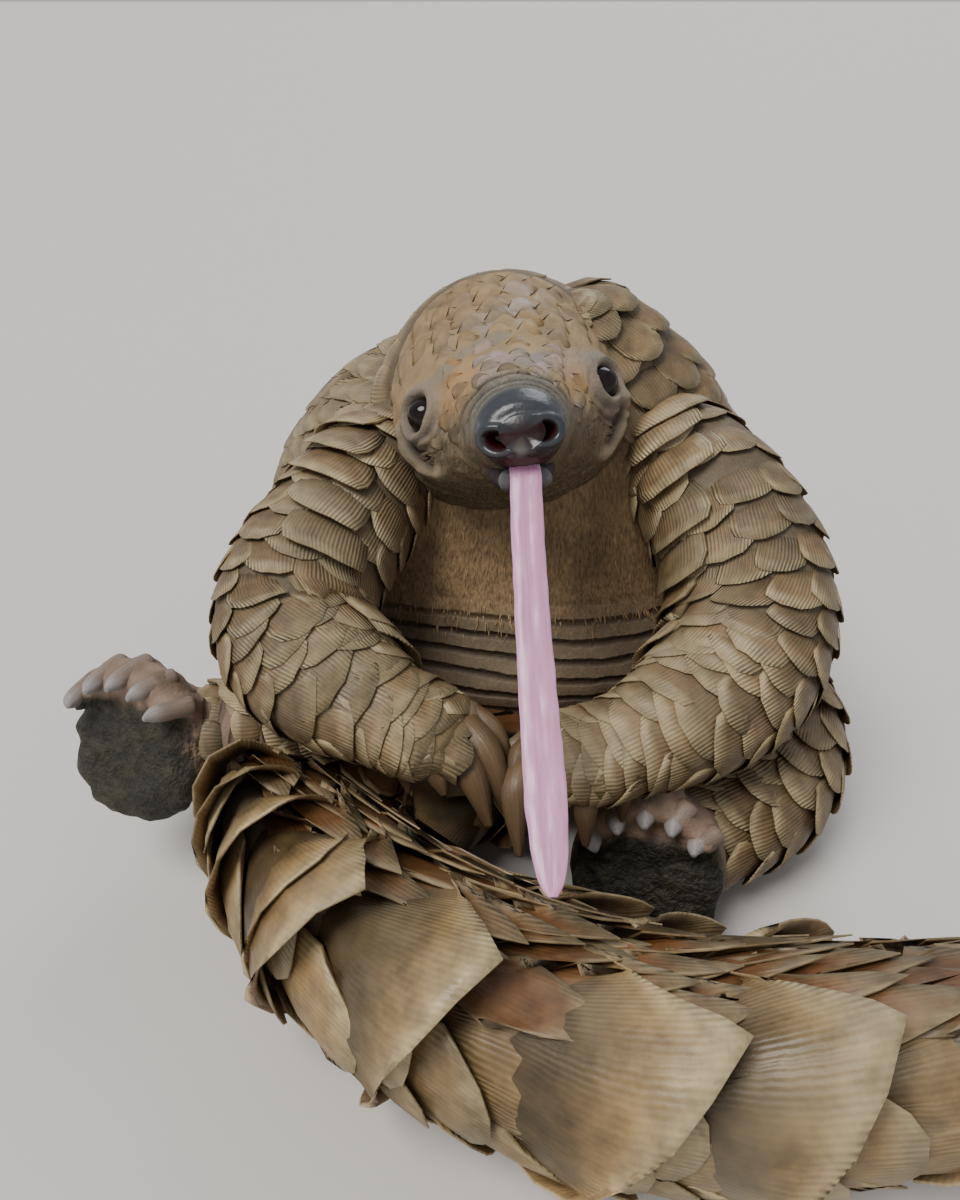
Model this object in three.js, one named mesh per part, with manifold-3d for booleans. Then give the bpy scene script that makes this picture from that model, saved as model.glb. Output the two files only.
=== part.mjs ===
// A young ground pangolin sits on its rump, hands folded on the belly, tongue out, tail curled
// round the front with its underside turned up. Millimetres, +Z up, the face looks along -Y and
// the animal's own left is +X. The floor is z = 0 and the origin is the middle of the rump's flat.
import * as THREE from "three";
import Module from "manifold-3d";

const wasm = await Module();
wasm.setup();
const { Manifold, Mesh } = wasm;

// ---- driving dimensions ----
const GAP = 0.3; // air between one node and the next
const TOUCH = 0.001; // shared volume in cubic mm that is still cut away
const FLOOR = 0;
const SEED = 20;
const SHELL_RINGS = 10; // rings along a large form
const SHELL_SIDES = 18; // points round a large form
const LIMB_RINGS = 4;
const LIMB_SIDES = 10;
const TAIL_SIDES = 12;
const CLAW_RINGS = 3;
const CLAW_SIDES = 6;
const MERGES = [0.1, 0.075, 0.05, 0.025, 0.01, 0.003]; // detail smaller than this is closed up, first that works
const SLIVERS = [0.01, 0.005, 0.002]; // the same after a second cut
const JOIN = 0.001; // corners nearer than this are one corner
const NUDGES = [0, 0.08, -0.08, 0.16, -0.16, 0.24, -0.24]; // small moves tried until a cut is sound

// Each row of a form is [x, y, z, half width, rise, drop, lean in degrees]; on the tail z is a lift.
const TORSO = [
  [0, 0, 0, 30, 26, 24, 0],
  [1, 3, 5, 60, 52, 44, 0],
  [2, 6, 16, 80, 70, 60, 0],
  [2, 8, 34, 94, 82, 78, 0],
  [2, 6, 60, 101, 86, 82, 0],
  [1, 1, 86, 95, 80, 68, 0],
  [2, -5, 110, 82, 70, 52, 0],
  [3, -10, 131, 63, 54, 40, 0],
  [1, -12, 145, 41, 37, 27, 0],
  [-5, -12, 152, 12, 14, 10, 0],
];
const HEAD = [
  [-5.2, -99.2, 153.6, 6, 4.5, 4.5, 0],
  [-5.2, -96.6, 152.6, 11, 8.5, 8.5, 0],
  [-5.2, -87, 149.5, 12.5, 11.5, 11.5, 0],
  [-5.4, -73.5, 144, 17.5, 17, 15, 0],
  [-6, -60, 138, 29, 26, 19, 0],
  [-6, -48.8, 133.6, 35.5, 38, 23, 0],
  [-6, -37.7, 129, 39, 49, 27, 0],
];
const JAW = [
  [-5.4, -60, 128, 15, 8, 8, 0],
  [-4.9, -77, 135, 11.5, 6.5, 6, 0],
  [-4.2, -89, 139.5, 9, 4.5, 3.6, 0],
  [-3.9, -95, 141.4, 5.5, 2.6, 2.2, 0],
];
const NECK = [
  [-6, -37.7, 129, 39, 49, 27, 0],
  [-6, -26.5, 124.6, 45, 51, 31, 0],
  [-5, -15, 120, 50, 47, 36, 0],
  [-4, -5, 116, 54, 36, 40, 0],
];
const TAIL = [
  [4, -28, 0, 42, 8, 24, 0],
  [-16, -58, 0, 42, 8, 24, 0],
  [-42, -83, 2, 39, 8, 23, 4],
  [-60, -107, 0, 36, 8, 24, 22],
  [-57, -134, 0, 34, 13, 30, 44],
  [-38, -157, 0, 35, 14, 32, 42],
  [-14, -173, 0, 35, 14, 32, 38],
  [12, -184, 0, 34, 14, 31, 36],
  [40, -190, 2, 33, 13, 30, 38],
  [80, -190, 7, 30, 12, 27, 44],
  [118, -183, 9, 24, 9, 20, 44],
  [148, -170, 8, 14, 6, 12, 34],
  [158, -164, 8, 6, 3, 6, 26],
];
const TAIL_CUTS = [0, 0.29, 0.47, 0.66, 1];
const TAIL_CLEAR = 4.5; // the scales lift the tail this far off the floor
const ARM_RIGHT = [
  [-42, -20, 116, 17, 17, 17, 0],
  [-51, -42, 113, 21, 21, 21, 0],
  [-62, -62, 104, 23, 23, 23, 0],
  [-71, -79, 94, 24, 24, 24, 0],
  [-72, -91, 86, 23.5, 23.5, 23.5, 0],
  [-66, -101, 82, 22, 22, 22, 0],
  [-55, -110, 79, 19, 19, 19, 0],
  [-43, -118, 77, 15, 14, 14, 0],
  [-35, -122, 76, 15.5, 11, 12, 0],
  [-28, -125, 75, 15, 9, 10, 0],
  [-24, -127, 74, 10, 5, 6, 0],
];
const ARM_LEFT = [
  [42, -20, 118, 18, 18, 18, 0],
  [54, -42, 114, 23, 23, 23, 0],
  [65, -62, 101, 25, 25, 25, 0],
  [69, -79, 87, 25, 25, 25, 0],
  [65, -92, 77, 24, 24, 24, 0],
  [55, -103, 72, 22, 22, 22, 0],
  [41, -113, 69, 18.5, 18.5, 18.5, 0],
  [27, -121, 68, 14.5, 14, 14, 0],
  [17, -125, 68, 15, 11, 12, 0],
  [8, -127, 68, 14, 9, 10, 0],
  [2, -128, 67, 9, 5, 6, 0],
];
const ARM_CUTS = [0, 0.4, 0.7, 1]; // shoulder, elbow, wrist, knuckles
const LEG_RIGHT = [
  [-58, -16, 42, 22, 22, 22, 0],
  [-66, -46, 44, 24, 22, 22, 0],
  [-67, -68, 47, 20, 17, 17, 0],
  [-67, -84, 50, 16, 15, 15, 0],
  [-75, -94, 51, 14.5, 14.5, 14.5, 0],
  [-86, -97, 52, 14, 14.5, 14.5, 0],
  [-97, -97, 51, 14, 15, 15, 0],
  [-106, -96, 50, 13, 14, 14, 0],
];
const LEG_LEFT = [
  [58, -16, 38, 22, 22, 22, 0],
  [76, -44, 36, 26, 26, 26, 0],
  [84, -68, 33, 25, 24, 24, 0],
  [84, -86, 29, 22, 21, 21, 0],
  [76, -99, 26, 20, 20, 20, 0],
  [65, -107, 25, 18.5, 18.5, 18.5, 0],
  [54, -113, 24, 17, 17, 17, 0],
  [44, -119, 24, 15, 15, 15, 0],
];
const LEG_CUTS = [0, 0.43, 1]; // hip, knee, ankle
const FOOT_RIGHT = [
  [-112, -86, 42, 13, 13, 13, 0],
  [-115, -91, 45, 19, 19, 19, 0],
  [-119, -98, 48, 22.5, 23, 23, 0],
  [-123, -105, 52, 23, 24.5, 24, 0],
  [-124.5, -108.5, 54, 17, 19, 18, 0],
];
const FOOT_LEFT = [
  [44, -108, 22, 13, 13, 13, 0],
  [41, -115, 23, 19, 20, 20, 0],
  [37, -124, 25, 22.5, 24.5, 24.5, 0],
  [33, -134, 27, 23, 26, 27, 0],
  [32, -138, 28.5, 17, 20, 20, 0],
];
const TONGUE = [
  [-4.3, -90.5, 144.2, 3.6, 1, 1, 0],
  [-4, -99, 141, 4.2, 1.2, 1.2, 0],
  [-3.4, -114, 126.5, 4.4, 1.2, 1.2, 0],
  [-2.4, -131, 111, 4.6, 1.2, 1.2, 0],
  [-1.4, -150, 99, 4.9, 1.2, 1.2, 0],
  [-0.6, -167, 89.5, 5, 1.2, 1.2, 0],
  [-0.1, -180, 82.5, 3.6, 1, 1, 0],
  [0.1, -185, 80, 1.2, 0.7, 0.7, 0],
];

// Claws and nails: root, knee of the curve, tip, half width at the root.
const CLAWS_RIGHT = [
  [[-31, -127, 73], [-28, -134, 70], [-26, -138, 66], 4.4],
  [[-27, -124, 75], [-19, -135, 71], [-14.5, -142.5, 61], 5.2],
  [[-22, -121, 76], [-14, -131, 72], [-9, -138, 60], 5.2],
  [[-20, -116, 76], [-12, -122, 73], [-8, -127, 67], 3.6],
  [[-38, -125, 70], [-37, -130, 66], [-36, -133, 62], 3.2],
];
const CLAWS_LEFT = [
  [[1, -123, 71], [-5, -129, 71], [-7, -135, 68], 3.4],
  [[1, -127, 68], [-6, -137, 66], [-5.5, -147, 55], 5],
  [[7, -128, 66], [3, -140, 62], [3, -149, 51], 5],
  [[14, -127, 64], [13, -137, 61], [13, -143, 53], 4.4],
  [[22, -127, 62], [24, -132, 58], [24, -135, 53], 3.2],
];
const CLAW_FLAT = 0.85;
const CLAW_TIP = 0.22;
const NAIL_WIDE = 3.3;
const NAIL_LONG = 9;
const NAIL_ANGLES = [38, 62, 86, 110, 134];

const EYE_RADIUS = 5;
const EYE_SINK = 2.3;
const LID_RADIUS = 1.6;
// Places on the head's form, the animal's left first: how far along, how far round.
const EYES = [[0.725, 0.055], [0.665, 0.443]];
const EAR_U = 0.86;
const EAR_V = [0.985, 0.515];
const EAR_LONG = 14;
const EAR_THICK = 2.2;
const NOSTRIL_RADIUS = 1.9;
const NOSTRILS = [[0.1, -98, 154], [-11.9, -99, 151.4]];
const MOUTH = [-4.2, -94, 143.6];
const MOUTH_SIZE = [6.6, 9, 4];
const LIP_RADIUS = 2;
const LIP_SPAN = 6.4;

// Scales: length, half width, thickness, lift of the tip, depth of the root.
const SCALE_BACK = { long: 46, half: 20, thick: 1.4, lift: 4.6, sink: 3.6 };
const SCALE_NECK = { long: 26, half: 14, thick: 1.2, lift: 3.2, sink: 3 };
const SCALE_TAIL = { long: 50, half: 18, thick: 1.4, lift: 4.5, sink: 3.5 };
const SCALE_UNDER = { long: 48, half: 13, thick: 1.2, lift: 3, sink: 3.5 };
const SCALE_EDGE = { long: 52, half: 17, thick: 1.6, lift: 8, sink: 4, folded: true };
const SCALE_ARM = { long: 30, half: 15, thick: 1.1, lift: 3.2, sink: 3 };
const SCALE_LEG = { long: 27, half: 11, thick: 1.1, lift: 3, sink: 3 };
const VARY = 0.09;
const BESIDE = 0.485; // half width of a scale over the distance to the next one in its row
const OUTLINE = [[0, 0.72], [0.55, 1], [1, 0.3]]; // how far along, how wide
const CROOK = 0.6; // no scale where a bend shortens the skin below this share
const CROWN = 0.7; // height of a crease over the rest
const RISE = 0.8; // how soon a scale leaves the skin

// ---- small helpers ----
function seeded(seed) {
  let s = seed;
  return () => {
    s = (s + 0x6d2b79f5) | 0;
    let t = Math.imul(s ^ (s >>> 15), 1 | s);
    t = (t + Math.imul(t ^ (t >>> 7), 61 | t)) ^ t;
    return ((t ^ (t >>> 14)) >>> 0) / 4294967296;
  };
}

const vec = (a) => new THREE.Vector3(a[0], a[1], a[2]);

function cubic(rows, t) {
  const last = rows.length - 1;
  const x = Math.min(Math.max(t, 0), 1) * last;
  const i = Math.min(Math.floor(x), last - 1);
  const f = x - i;
  const a = rows[Math.max(i - 1, 0)];
  const b = rows[i];
  const c = rows[i + 1];
  const d = rows[Math.min(i + 2, last)];
  return b.map((_, k) => {
    const m0 = (c[k] - a[k]) / 2;
    const m1 = (d[k] - b[k]) / 2;
    const f2 = f * f;
    const f3 = f2 * f;
    return (2 * f3 - 3 * f2 + 1) * b[k] + (f3 - 2 * f2 + f) * m0 + (3 * f2 - 2 * f3) * c[k] + (f3 - f2) * m1;
  });
}

// A form is a swept tube of half ellipses; at(u, v) is a point of its skin and frame(u) its axes.
class Form {
  constructor(rows, up) {
    this.rows = rows;
    this.up = vec(up);
  }
  frame(u) {
    const e = 1e-3;
    const row = cubic(this.rows, u);
    const p = vec(cubic(this.rows, Math.min(u + e, 1)));
    const q = vec(cubic(this.rows, Math.max(u - e, 0)));
    const ahead = p.sub(q).normalize();
    const flat = new THREE.Vector3().crossVectors(ahead, this.up).normalize();
    const rise = new THREE.Vector3().crossVectors(flat, ahead);
    const lean = THREE.MathUtils.degToRad(row[6]);
    const side = flat.clone().multiplyScalar(Math.cos(lean)).addScaledVector(rise, Math.sin(lean));
    const upward = rise.multiplyScalar(Math.cos(lean)).addScaledVector(flat, -Math.sin(lean));
    return { row, middle: vec(row), ahead, side, upward };
  }
  at(u, v) {
    const c = Math.min(Math.max(u, 0), 1);
    const { row, middle, ahead, side, upward } = this.frame(c);
    const turn = v * Math.PI * 2;
    const high = Math.sin(turn);
    const p = middle.addScaledVector(side, row[3] * Math.cos(turn));
    p.addScaledVector(upward, (high > 0 ? row[4] : row[5]) * high);
    if (u !== c) p.addScaledVector(ahead, (u - c) * this.span());
    return p;
  }
  span() {
    if (!this.long) {
      this.long = 0;
      for (let i = 1; i < this.rows.length; i++) {
        this.long += vec(this.rows[i]).distanceTo(vec(this.rows[i - 1]));
      }
    }
    return this.long;
  }
  slopes(u, v) {
    const e = 2e-3;
    const c = Math.min(Math.max(u, e), 1 - e);
    const du = this.at(c + e, v).sub(this.at(c - e, v)).divideScalar(2 * e);
    const dv = this.at(c, v + e).sub(this.at(c, v - e)).divideScalar(2 * e);
    const out = new THREE.Vector3().crossVectors(du, dv).normalize();
    return { du, dv, out };
  }
}

function closed(points, faces) {
  const made = Manifold.ofMesh(
    new Mesh({ numProp: 3, vertProperties: new Float32Array(points.flat()), triVerts: new Uint32Array(faces.flat()) }),
  );
  return made.volume() < 0 ? closed(points, faces.map(([a, b, c]) => [a, c, b])) : made;
}

function biggest(solid) {
  const pieces = solid.decompose();
  return pieces.reduce((a, b) => (a.volume() > b.volume() ? a : b));
}

// Whether any edge of the skin has other than two faces once its near corners are joined.
function pinched(solid) {
  const { vertProperties: p, numProp, triVerts } = solid.getMesh();
  const named = (i) => [0, 1, 2].map((k) => Math.round(p[i * numProp + k] / JOIN)).join(" ");
  const uses = new Map();
  for (let i = 0; i < triVerts.length; i += 3) {
    const corners = [0, 1, 2].map((k) => named(triVerts[i + k]));
    if (new Set(corners).size < 3) continue;
    corners.forEach((a, k) => {
      const edge = [a, corners[(k + 1) % 3]].sort().join(";");
      uses.set(edge, (uses.get(edge) ?? 0) + 1);
    });
  }
  return [...uses.values()].some((n) => n !== 2);
}

// One closed body with its small detail closed up, by the largest of the tolerances that leaves it sound.
function settled(solid, merges) {
  for (const merge of merges) {
    const made = biggest(biggest(solid).asOriginal().simplify(merge));
    if (!pinched(made)) return made;
  }
  return null;
}

// The closed skin of a form between two stations, moved outward by grow.
function shell(form, from, to, rings, sides, grow) {
  const points = [];
  const faces = [];
  for (let i = 0; i <= rings; i++) {
    const u = from + ((to - from) * i) / rings;
    const { ahead } = form.frame(u);
    const push = i === 0 ? -grow : i === rings ? grow : 0;
    for (let j = 0; j < sides; j++) {
      const v = j / sides;
      const p = form.at(u, v).addScaledVector(form.slopes(u, v).out, grow).addScaledVector(ahead, push);
      points.push(p.toArray());
    }
  }
  for (let i = 0; i < rings; i++) {
    for (let j = 0; j < sides; j++) {
      const k = (j + 1) % sides;
      const a = i * sides + j;
      const b = i * sides + k;
      const c = (i + 1) * sides + j;
      const d = (i + 1) * sides + k;
      faces.push([a, c, b], [c, d, b]);
    }
  }
  const ends = [
    [from, -grow, 0],
    [to, grow, rings * sides],
  ];
  ends.forEach(([u, push, start], n) => {
    const { middle, ahead } = form.frame(u);
    points.push(middle.addScaledVector(ahead, push).toArray());
    const hub = points.length - 1;
    for (let j = 0; j < sides; j++) {
      const a = start + j;
      const b = start + ((j + 1) % sides);
      faces.push(n === 0 ? [hub, a, b] : [hub, b, a]);
    }
  });
  return closed(points, faces);
}

// One scale laid on a form: it starts sunk at (u, v), runs along the form by sign and is bent with
// the skin. A folded one has a crease down its middle.
function vane(form, u, v, size, sign, turn, grow) {
  const { du, dv } = form.slopes(u, v);
  const perU = du.length();
  const perV = dv.length();
  const columns = size.folded ? [-1, 0, 1] : [-1, 1];
  const n = columns.length;
  const last = OUTLINE.length - 1;
  const points = [];
  OUTLINE.forEach(([q, w], i) => {
    const along = q * size.long + grow * (i === last ? 1 : i === 0 ? -1 : 0);
    const high = (size.sink + size.lift) * q ** RISE - size.sink;
    [size.thick + grow, -grow].forEach((rise) => {
      columns.forEach((s) => {
        const across = s * (w * size.half + grow);
        const a = along * Math.cos(turn) - across * Math.sin(turn);
        const b = along * Math.sin(turn) + across * Math.cos(turn);
        const uu = u + (sign * a) / perU;
        const vv = v + b / perV;
        const crown = s === 0 ? CROWN : 0;
        points.push(form.at(uu, vv).addScaledVector(form.slopes(uu, vv).out, high + rise + crown).toArray());
      });
    });
  });
  const faces = [];
  const quad = (a, b, c, d) => faces.push([a, b, c], [a, c, d]);
  for (let i = 0; i < last; i++) {
    const top = i * 2 * n;
    const low = top + n;
    const next = 2 * n;
    for (let k = 0; k < n - 1; k++) {
      quad(top + k, top + k + 1, top + k + 1 + next, top + k + next);
      quad(low + k, low + k + next, low + k + 1 + next, low + k + 1);
    }
    quad(top, top + next, low + next, low);
    quad(top + n - 1, low + n - 1, low + n - 1 + next, top + n - 1 + next);
  }
  const end = last * 2 * n;
  for (let k = 0; k < n - 1; k++) {
    quad(k, k + n, k + n + 1, k + 1);
    quad(end + k, end + k + 1, end + k + n + 1, end + k + n);
  }
  return closed(points, faces);
}

// Staggered rows of scales between two stations and two turns round a form.
function coat(form, size, rows, wide, sign, seed, options = {}) {
  const random = seeded(seed);
  const made = [];
  const { from, to, first, last, edges, slant = 0 } = { from: 0, to: 1, first: 0, last: 1, ...options };
  for (let i = 0; i < rows; i++) {
    const u = rows === 1 ? from : from + ((to - from) * i) / (rows - 1);
    if (edges) {
      edges.forEach((v) => made.push({ u, v, size, sign, turn: 0 }));
      continue;
    }
    const arc = form.slopes(u, (first + last) / 2).dv.length() * (last - first);
    const count = Math.max(2, Math.round(arc / wide));
    for (let j = 0; j <= count; j++) {
      const shift = i % 2 ? 0.5 : 0;
      if (j + shift > count) continue;
      const v = first + ((last - first) * (j + shift)) / count;
      const vary = 1 + VARY * (random() * 2 - 1);
      const half = Math.min(size.half, (BESIDE * arc) / count);
      made.push({
        u,
        v,
        size: { ...size, long: size.long * vary, half },
        sign,
        turn: slant * (v - (first + last) / 2) + (random() - 0.5) * 0.1,
      });
    }
  }
  return made.filter((s) => form.slopes(s.u, s.v).du.length() > CROOK * form.span());
}

function dress(solid, form, scales, grow) {
  if (!scales.length) return solid;
  return Manifold.union([solid, ...scales.map((s) => vane(form, s.u, s.v, s.size, s.sign, s.turn, grow))]);
}

// ---- forms ----
const Z = [0, 0, 1];
const BACK = [0, 1, 0];
const ROLLED = [-0.139, 0, 0.99];
TAIL.forEach((row) => {
  const lean = THREE.MathUtils.degToRad(row[6]);
  row[2] += TAIL_CLEAR + Math.hypot(row[3] * Math.sin(lean), row[5] * Math.cos(lean));
});
const forms = {
  torso: new Form(TORSO, BACK),
  head: new Form(HEAD, ROLLED),
  neck: new Form(NECK, ROLLED),
  tongue: new Form(TONGUE, Z),
};


const limbs = {
  arm_right: [ARM_RIGHT, ARM_CUTS, ["upper_arm_right", "forearm_right", "hand_right"]],
  arm_left: [ARM_LEFT, ARM_CUTS, ["upper_arm_left", "forearm_left", "hand_left"]],
  leg_right: [LEG_RIGHT, LEG_CUTS, ["thigh_right", "shank_right"]],
  leg_left: [LEG_LEFT, LEG_CUTS, ["thigh_left", "shank_left"]],
  tail: [TAIL, TAIL_CUTS, ["tail_1", "tail_2", "tail_3", "tail_4"]],
};
for (const [name, [rows]] of Object.entries(limbs)) forms[name] = new Form(rows, Z);
forms.foot_right = new Form(FOOT_RIGHT, Z);
forms.foot_left = new Form(FOOT_LEFT, Z);

// ---- scales of each node ----
const coats = {
  torso: coat(forms.torso, SCALE_BACK, 6, 40, -1, SEED, { from: 0.93, to: 0.34, first: -0.06, last: 0.56 }),
  neck: coat(forms.neck, SCALE_NECK, 2, 30, 1, SEED + 1, { from: 0.1, to: 0.6, first: -0.03, last: 0.53 }),
  tail: [
    ...coat(forms.tail, SCALE_TAIL, 8, 38, 1, SEED + 2, { from: 0.16, to: 0.93, first: 0.62, last: 0.93 }),
    ...coat(forms.tail, SCALE_UNDER, 8, 30, 1, SEED + 3, { from: 0.14, to: 0.92, first: 0.15, last: 0.36 }),
    ...coat(forms.tail, SCALE_EDGE, 9, 30, 1, SEED + 4, { from: 0.16, to: 0.95, edges: [0.06, 0.45] }),
  ],
  arm_right: coat(forms.arm_right, SCALE_ARM, 5, 29, 1, SEED + 25, { from: 0.1, to: 0.66, first: -0.08, last: 0.55 }),
  arm_left: coat(forms.arm_left, SCALE_ARM, 5, 29, 1, SEED + 7, { from: 0.1, to: 0.68, first: -0.05, last: 0.62 }),
  leg_left: coat(forms.leg_left, SCALE_LEG, 3, 22, 1, SEED + 9, { from: 0.2, to: 0.85, first: 0.22, last: 0.62 }),
};

// ---- solids ----
function geometrySolid(geometry) {
  const g = geometry;
  const p = g.getAttribute("position");
  const seen = new Map();
  const points = [];
  const map = [];
  for (let i = 0; i < p.count; i++) {
    const at = [p.getX(i), p.getY(i), p.getZ(i)];
    const key = at.map((x) => Math.round(x / 1e-4)).join(",");
    if (!seen.has(key)) {
      seen.set(key, points.length);
      points.push(at);
    }
    map.push(seen.get(key));
  }
  const order = g.index ? Array.from(g.index.array, (i) => map[i]) : map;
  const faces = [];
  for (let i = 0; i < order.length; i += 3) {
    const [a, b, c] = [order[i], order[i + 1], order[i + 2]];
    if (a !== b && b !== c && a !== c) faces.push([a, b, c]);
  }
  return closed(points, faces);
}

function ball(radius, at, squash = [1, 1, 1]) {
  const g = new THREE.IcosahedronGeometry(radius, 1).scale(...squash).translate(...at);
  return geometrySolid(g);
}

function faceOut(form, u, v) {
  const { out } = form.slopes(u, v);
  return { at: form.at(u, v), out };
}

function ring(form, u, v, inner, tube, raise) {
  const { at, out } = faceOut(form, u, v);
  const g = new THREE.TorusGeometry(inner + tube, tube, 5, 12);
  g.applyQuaternion(new THREE.Quaternion().setFromUnitVectors(new THREE.Vector3(0, 0, 1), out));
  const c = at.addScaledVector(out, raise);
  g.translate(c.x, c.y, c.z);
  return geometrySolid(g);
}

function eyeBall([u, v], grow) {
  const { at, out } = faceOut(forms.head, u, v);
  return ball(EYE_RADIUS + grow, at.addScaledVector(out, -EYE_SINK).toArray());
}

function headSolid(grow) {
  let made = shell(forms.head, 0, 1, 9, 16, grow);
  const jaw = shell(forms.jaw, 0, 1, 3, 8, grow);
  const inner = EYE_RADIUS - LID_RADIUS + 0.4;
  const lids = EYES.map(([u, v]) => ring(forms.head, u, v, inner, LID_RADIUS + grow, 0.6));
  made = Manifold.union([made, jaw, ...lids]);
  if (grow) return made;
  const holes = [
    ...EYES.map((eye) => eyeBall(eye, GAP)),
    ball(1, MOUTH, MOUTH_SIZE),
    ...NOSTRILS.map((at) => ball(NOSTRIL_RADIUS, at)),
  ];
  return made.subtract(Manifold.union(holes));
}

function earRidge(v, grow) {
  const points = [-1, -0.4, 0.3, 1].map((s) => {
    const du = (s * EAR_LONG) / 2 / forms.head.span();
    const { at, out } = faceOut(forms.head, EAR_U - 0.25 * Math.abs(du), v + (s * EAR_LONG) / 2 / forms.head.slopes(EAR_U, v).dv.length());
    return at.addScaledVector(out, 0.8 * (1 - s * s));
  });
  const path = new THREE.CatmullRomCurve3(points);
  const g = new THREE.TubeGeometry(path, 6, EAR_THICK + grow, 6, false);
  return capTube(g, path, 6, 6);
}

// A tube of three.js is open at its ends, so each end is closed by a fan to the path's own point.
function capTube(g, path, along, around) {
  const p = g.getAttribute("position");
  const points = [];
  for (let i = 0; i <= along; i++) {
    for (let j = 0; j < around; j++) {
      const k = i * (around + 1) + j;
      points.push([p.getX(k), p.getY(k), p.getZ(k)]);
    }
  }
  const faces = [];
  for (let i = 0; i < along; i++) {
    for (let j = 0; j < around; j++) {
      const k = (j + 1) % around;
      const a = i * around + j;
      const b = i * around + k;
      const c = (i + 1) * around + j;
      const d = (i + 1) * around + k;
      faces.push([a, c, b], [c, d, b]);
    }
  }
  [0, 1].forEach((t) => {
    points.push(path.getPoint(t).toArray());
    const hub = points.length - 1;
    const start = t * along * around;
    for (let j = 0; j < around; j++) {
      const a = start + j;
      const b = start + ((j + 1) % around);
      faces.push(t === 0 ? [hub, a, b] : [hub, b, a]);
    }
  });
  return closed(points, faces);
}

function claw([root, knee, tip, half], grow) {
  const rows = [
    [...root, half, half * CLAW_FLAT, half * CLAW_FLAT, 0],
    [...knee, half * 0.92, half * 0.8, half * 0.8, 0],
    [...tip, half * CLAW_TIP, half * CLAW_TIP, half * CLAW_TIP, 0],
  ];
  return shell(new Form(rows, Z), 0, 1, CLAW_RINGS, CLAW_SIDES, grow);
}

function nail(foot, degrees, grow) {
  const v = degrees / 360;
  const a = faceOut(foot, 0.55, v);
  const b = faceOut(foot, 0.8, v);
  const c = faceOut(foot, 0.97, v);
  const root = a.at.addScaledVector(a.out, -1.5).toArray();
  const knee = b.at.addScaledVector(b.out, 1).toArray();
  const tip = c.at.addScaledVector(c.out, 2.4).addScaledVector(foot.frame(1).ahead, 1.5).toArray();
  return claw([root, knee, tip, NAIL_WIDE], grow);
}

forms.jaw = new Form(JAW, ROLLED);

const spans = { torso: [SHELL_RINGS, SHELL_SIDES], neck: [3, 16], tongue: [8, 6] };
const makers = {};
for (const [limb, [, cuts, names]] of Object.entries(limbs)) {
  const form = forms[limb];
  names.forEach((name, i) => {
    const last = i === names.length - 1;
    const seam = GAP / 2 / form.span();
    const from = cuts[i] + (i ? seam : 0);
    const to = cuts[i + 1] - (last ? 0 : seam);
    const mine = (coats[limb] ?? []).filter((s) => s.u >= cuts[i] && s.u < cuts[i + 1]);
    const sides = limb === "tail" ? TAIL_SIDES : LIMB_SIDES;
    makers[name] = (grow) => dress(shell(form, from, to, LIMB_RINGS, sides, grow), form, mine, grow);
  });
}
["torso", "neck", "tongue", "foot_right", "foot_left"].forEach((name) => {
  const [rings, sides] = spans[name] ?? [LIMB_RINGS, LIMB_SIDES + 4];
  makers[name] = (grow) => dress(shell(forms[name], 0, 1, rings, sides, grow), forms[name], coats[name] ?? [], grow);
});
makers.head = headSolid;
["right", "left"].forEach((side, i) => {
  makers["eye_" + side] = (grow) => eyeBall(EYES[1 - i], grow);
  makers["ear_" + side] = (grow) => earRidge(EAR_V[1 - i], grow);
  (i ? CLAWS_LEFT : CLAWS_RIGHT).forEach((c, k) => {
    makers[`claw_${side}_${k + 1}`] = (grow) => claw(c, grow);
  });
  NAIL_ANGLES.forEach((a, k) => {
    makers[`nail_${side}_${k + 1}`] = (grow) => nail(forms["foot_" + side], a, grow);
  });
});

// Each node in turn, with the nodes made before it that it gives way to.
const TAILS = ["tail_1", "tail_2", "tail_3", "tail_4"];
const plan = [
  ["tail_1", []],
  ["tail_2", ["tail_1"]],
  ["tail_3", ["tail_2", "tail_1"]],
  ["tail_4", ["tail_3"]],
  ["torso", ["tail_1", "tail_2"]],
  ["neck", ["torso"]],
  ["head", ["neck", "torso"]],
  ["eye_right", []],
  ["eye_left", []],
  ["ear_right", ["head", "neck", "torso"]],
  ["ear_left", ["head", "neck", "torso"]],
  ["tongue", []],
  ["upper_arm_right", ["torso", "neck", "head", "ear_right"]],
  ["forearm_right", ["upper_arm_right", "torso", ...TAILS]],
  ["hand_right", ["forearm_right", "torso", ...TAILS]],
  ["upper_arm_left", ["torso", "neck", "head", "ear_left"]],
  ["forearm_left", ["upper_arm_left", "torso", ...TAILS]],
  ["hand_left", ["forearm_left", "torso", "hand_right", ...TAILS]],
];
const hands = ["hand_right", "hand_left", "forearm_right", "forearm_left"];
const clawNames = [];
["right", "left"].forEach((side) => {
  for (let k = 1; k <= 5; k++) {
    plan.push([`claw_${side}_${k}`, [...hands, ...clawNames, "torso", ...TAILS]]);
    clawNames.push(`claw_${side}_${k}`);
  }
});
["right", "left"].forEach((side) => {
  const near = ["torso", ...TAILS, "forearm_" + side, "upper_arm_" + side, "hand_" + side, ...clawNames];
  plan.push(["foot_" + side, near]);
  plan.push(["thigh_" + side, [...near, "foot_" + side]]);
  plan.push(["shank_" + side, ["thigh_" + side, "foot_" + side, ...near]]);
  for (let k = 1; k <= 5; k++) {
    const others = [];
    for (let n = 1; n < k; n++) others.push(`nail_${side}_${n}`);
    plan.push([`nail_${side}_${k}`, ["foot_" + side, "shank_" + side, ...others, ...near]]);
  }
});

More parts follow.
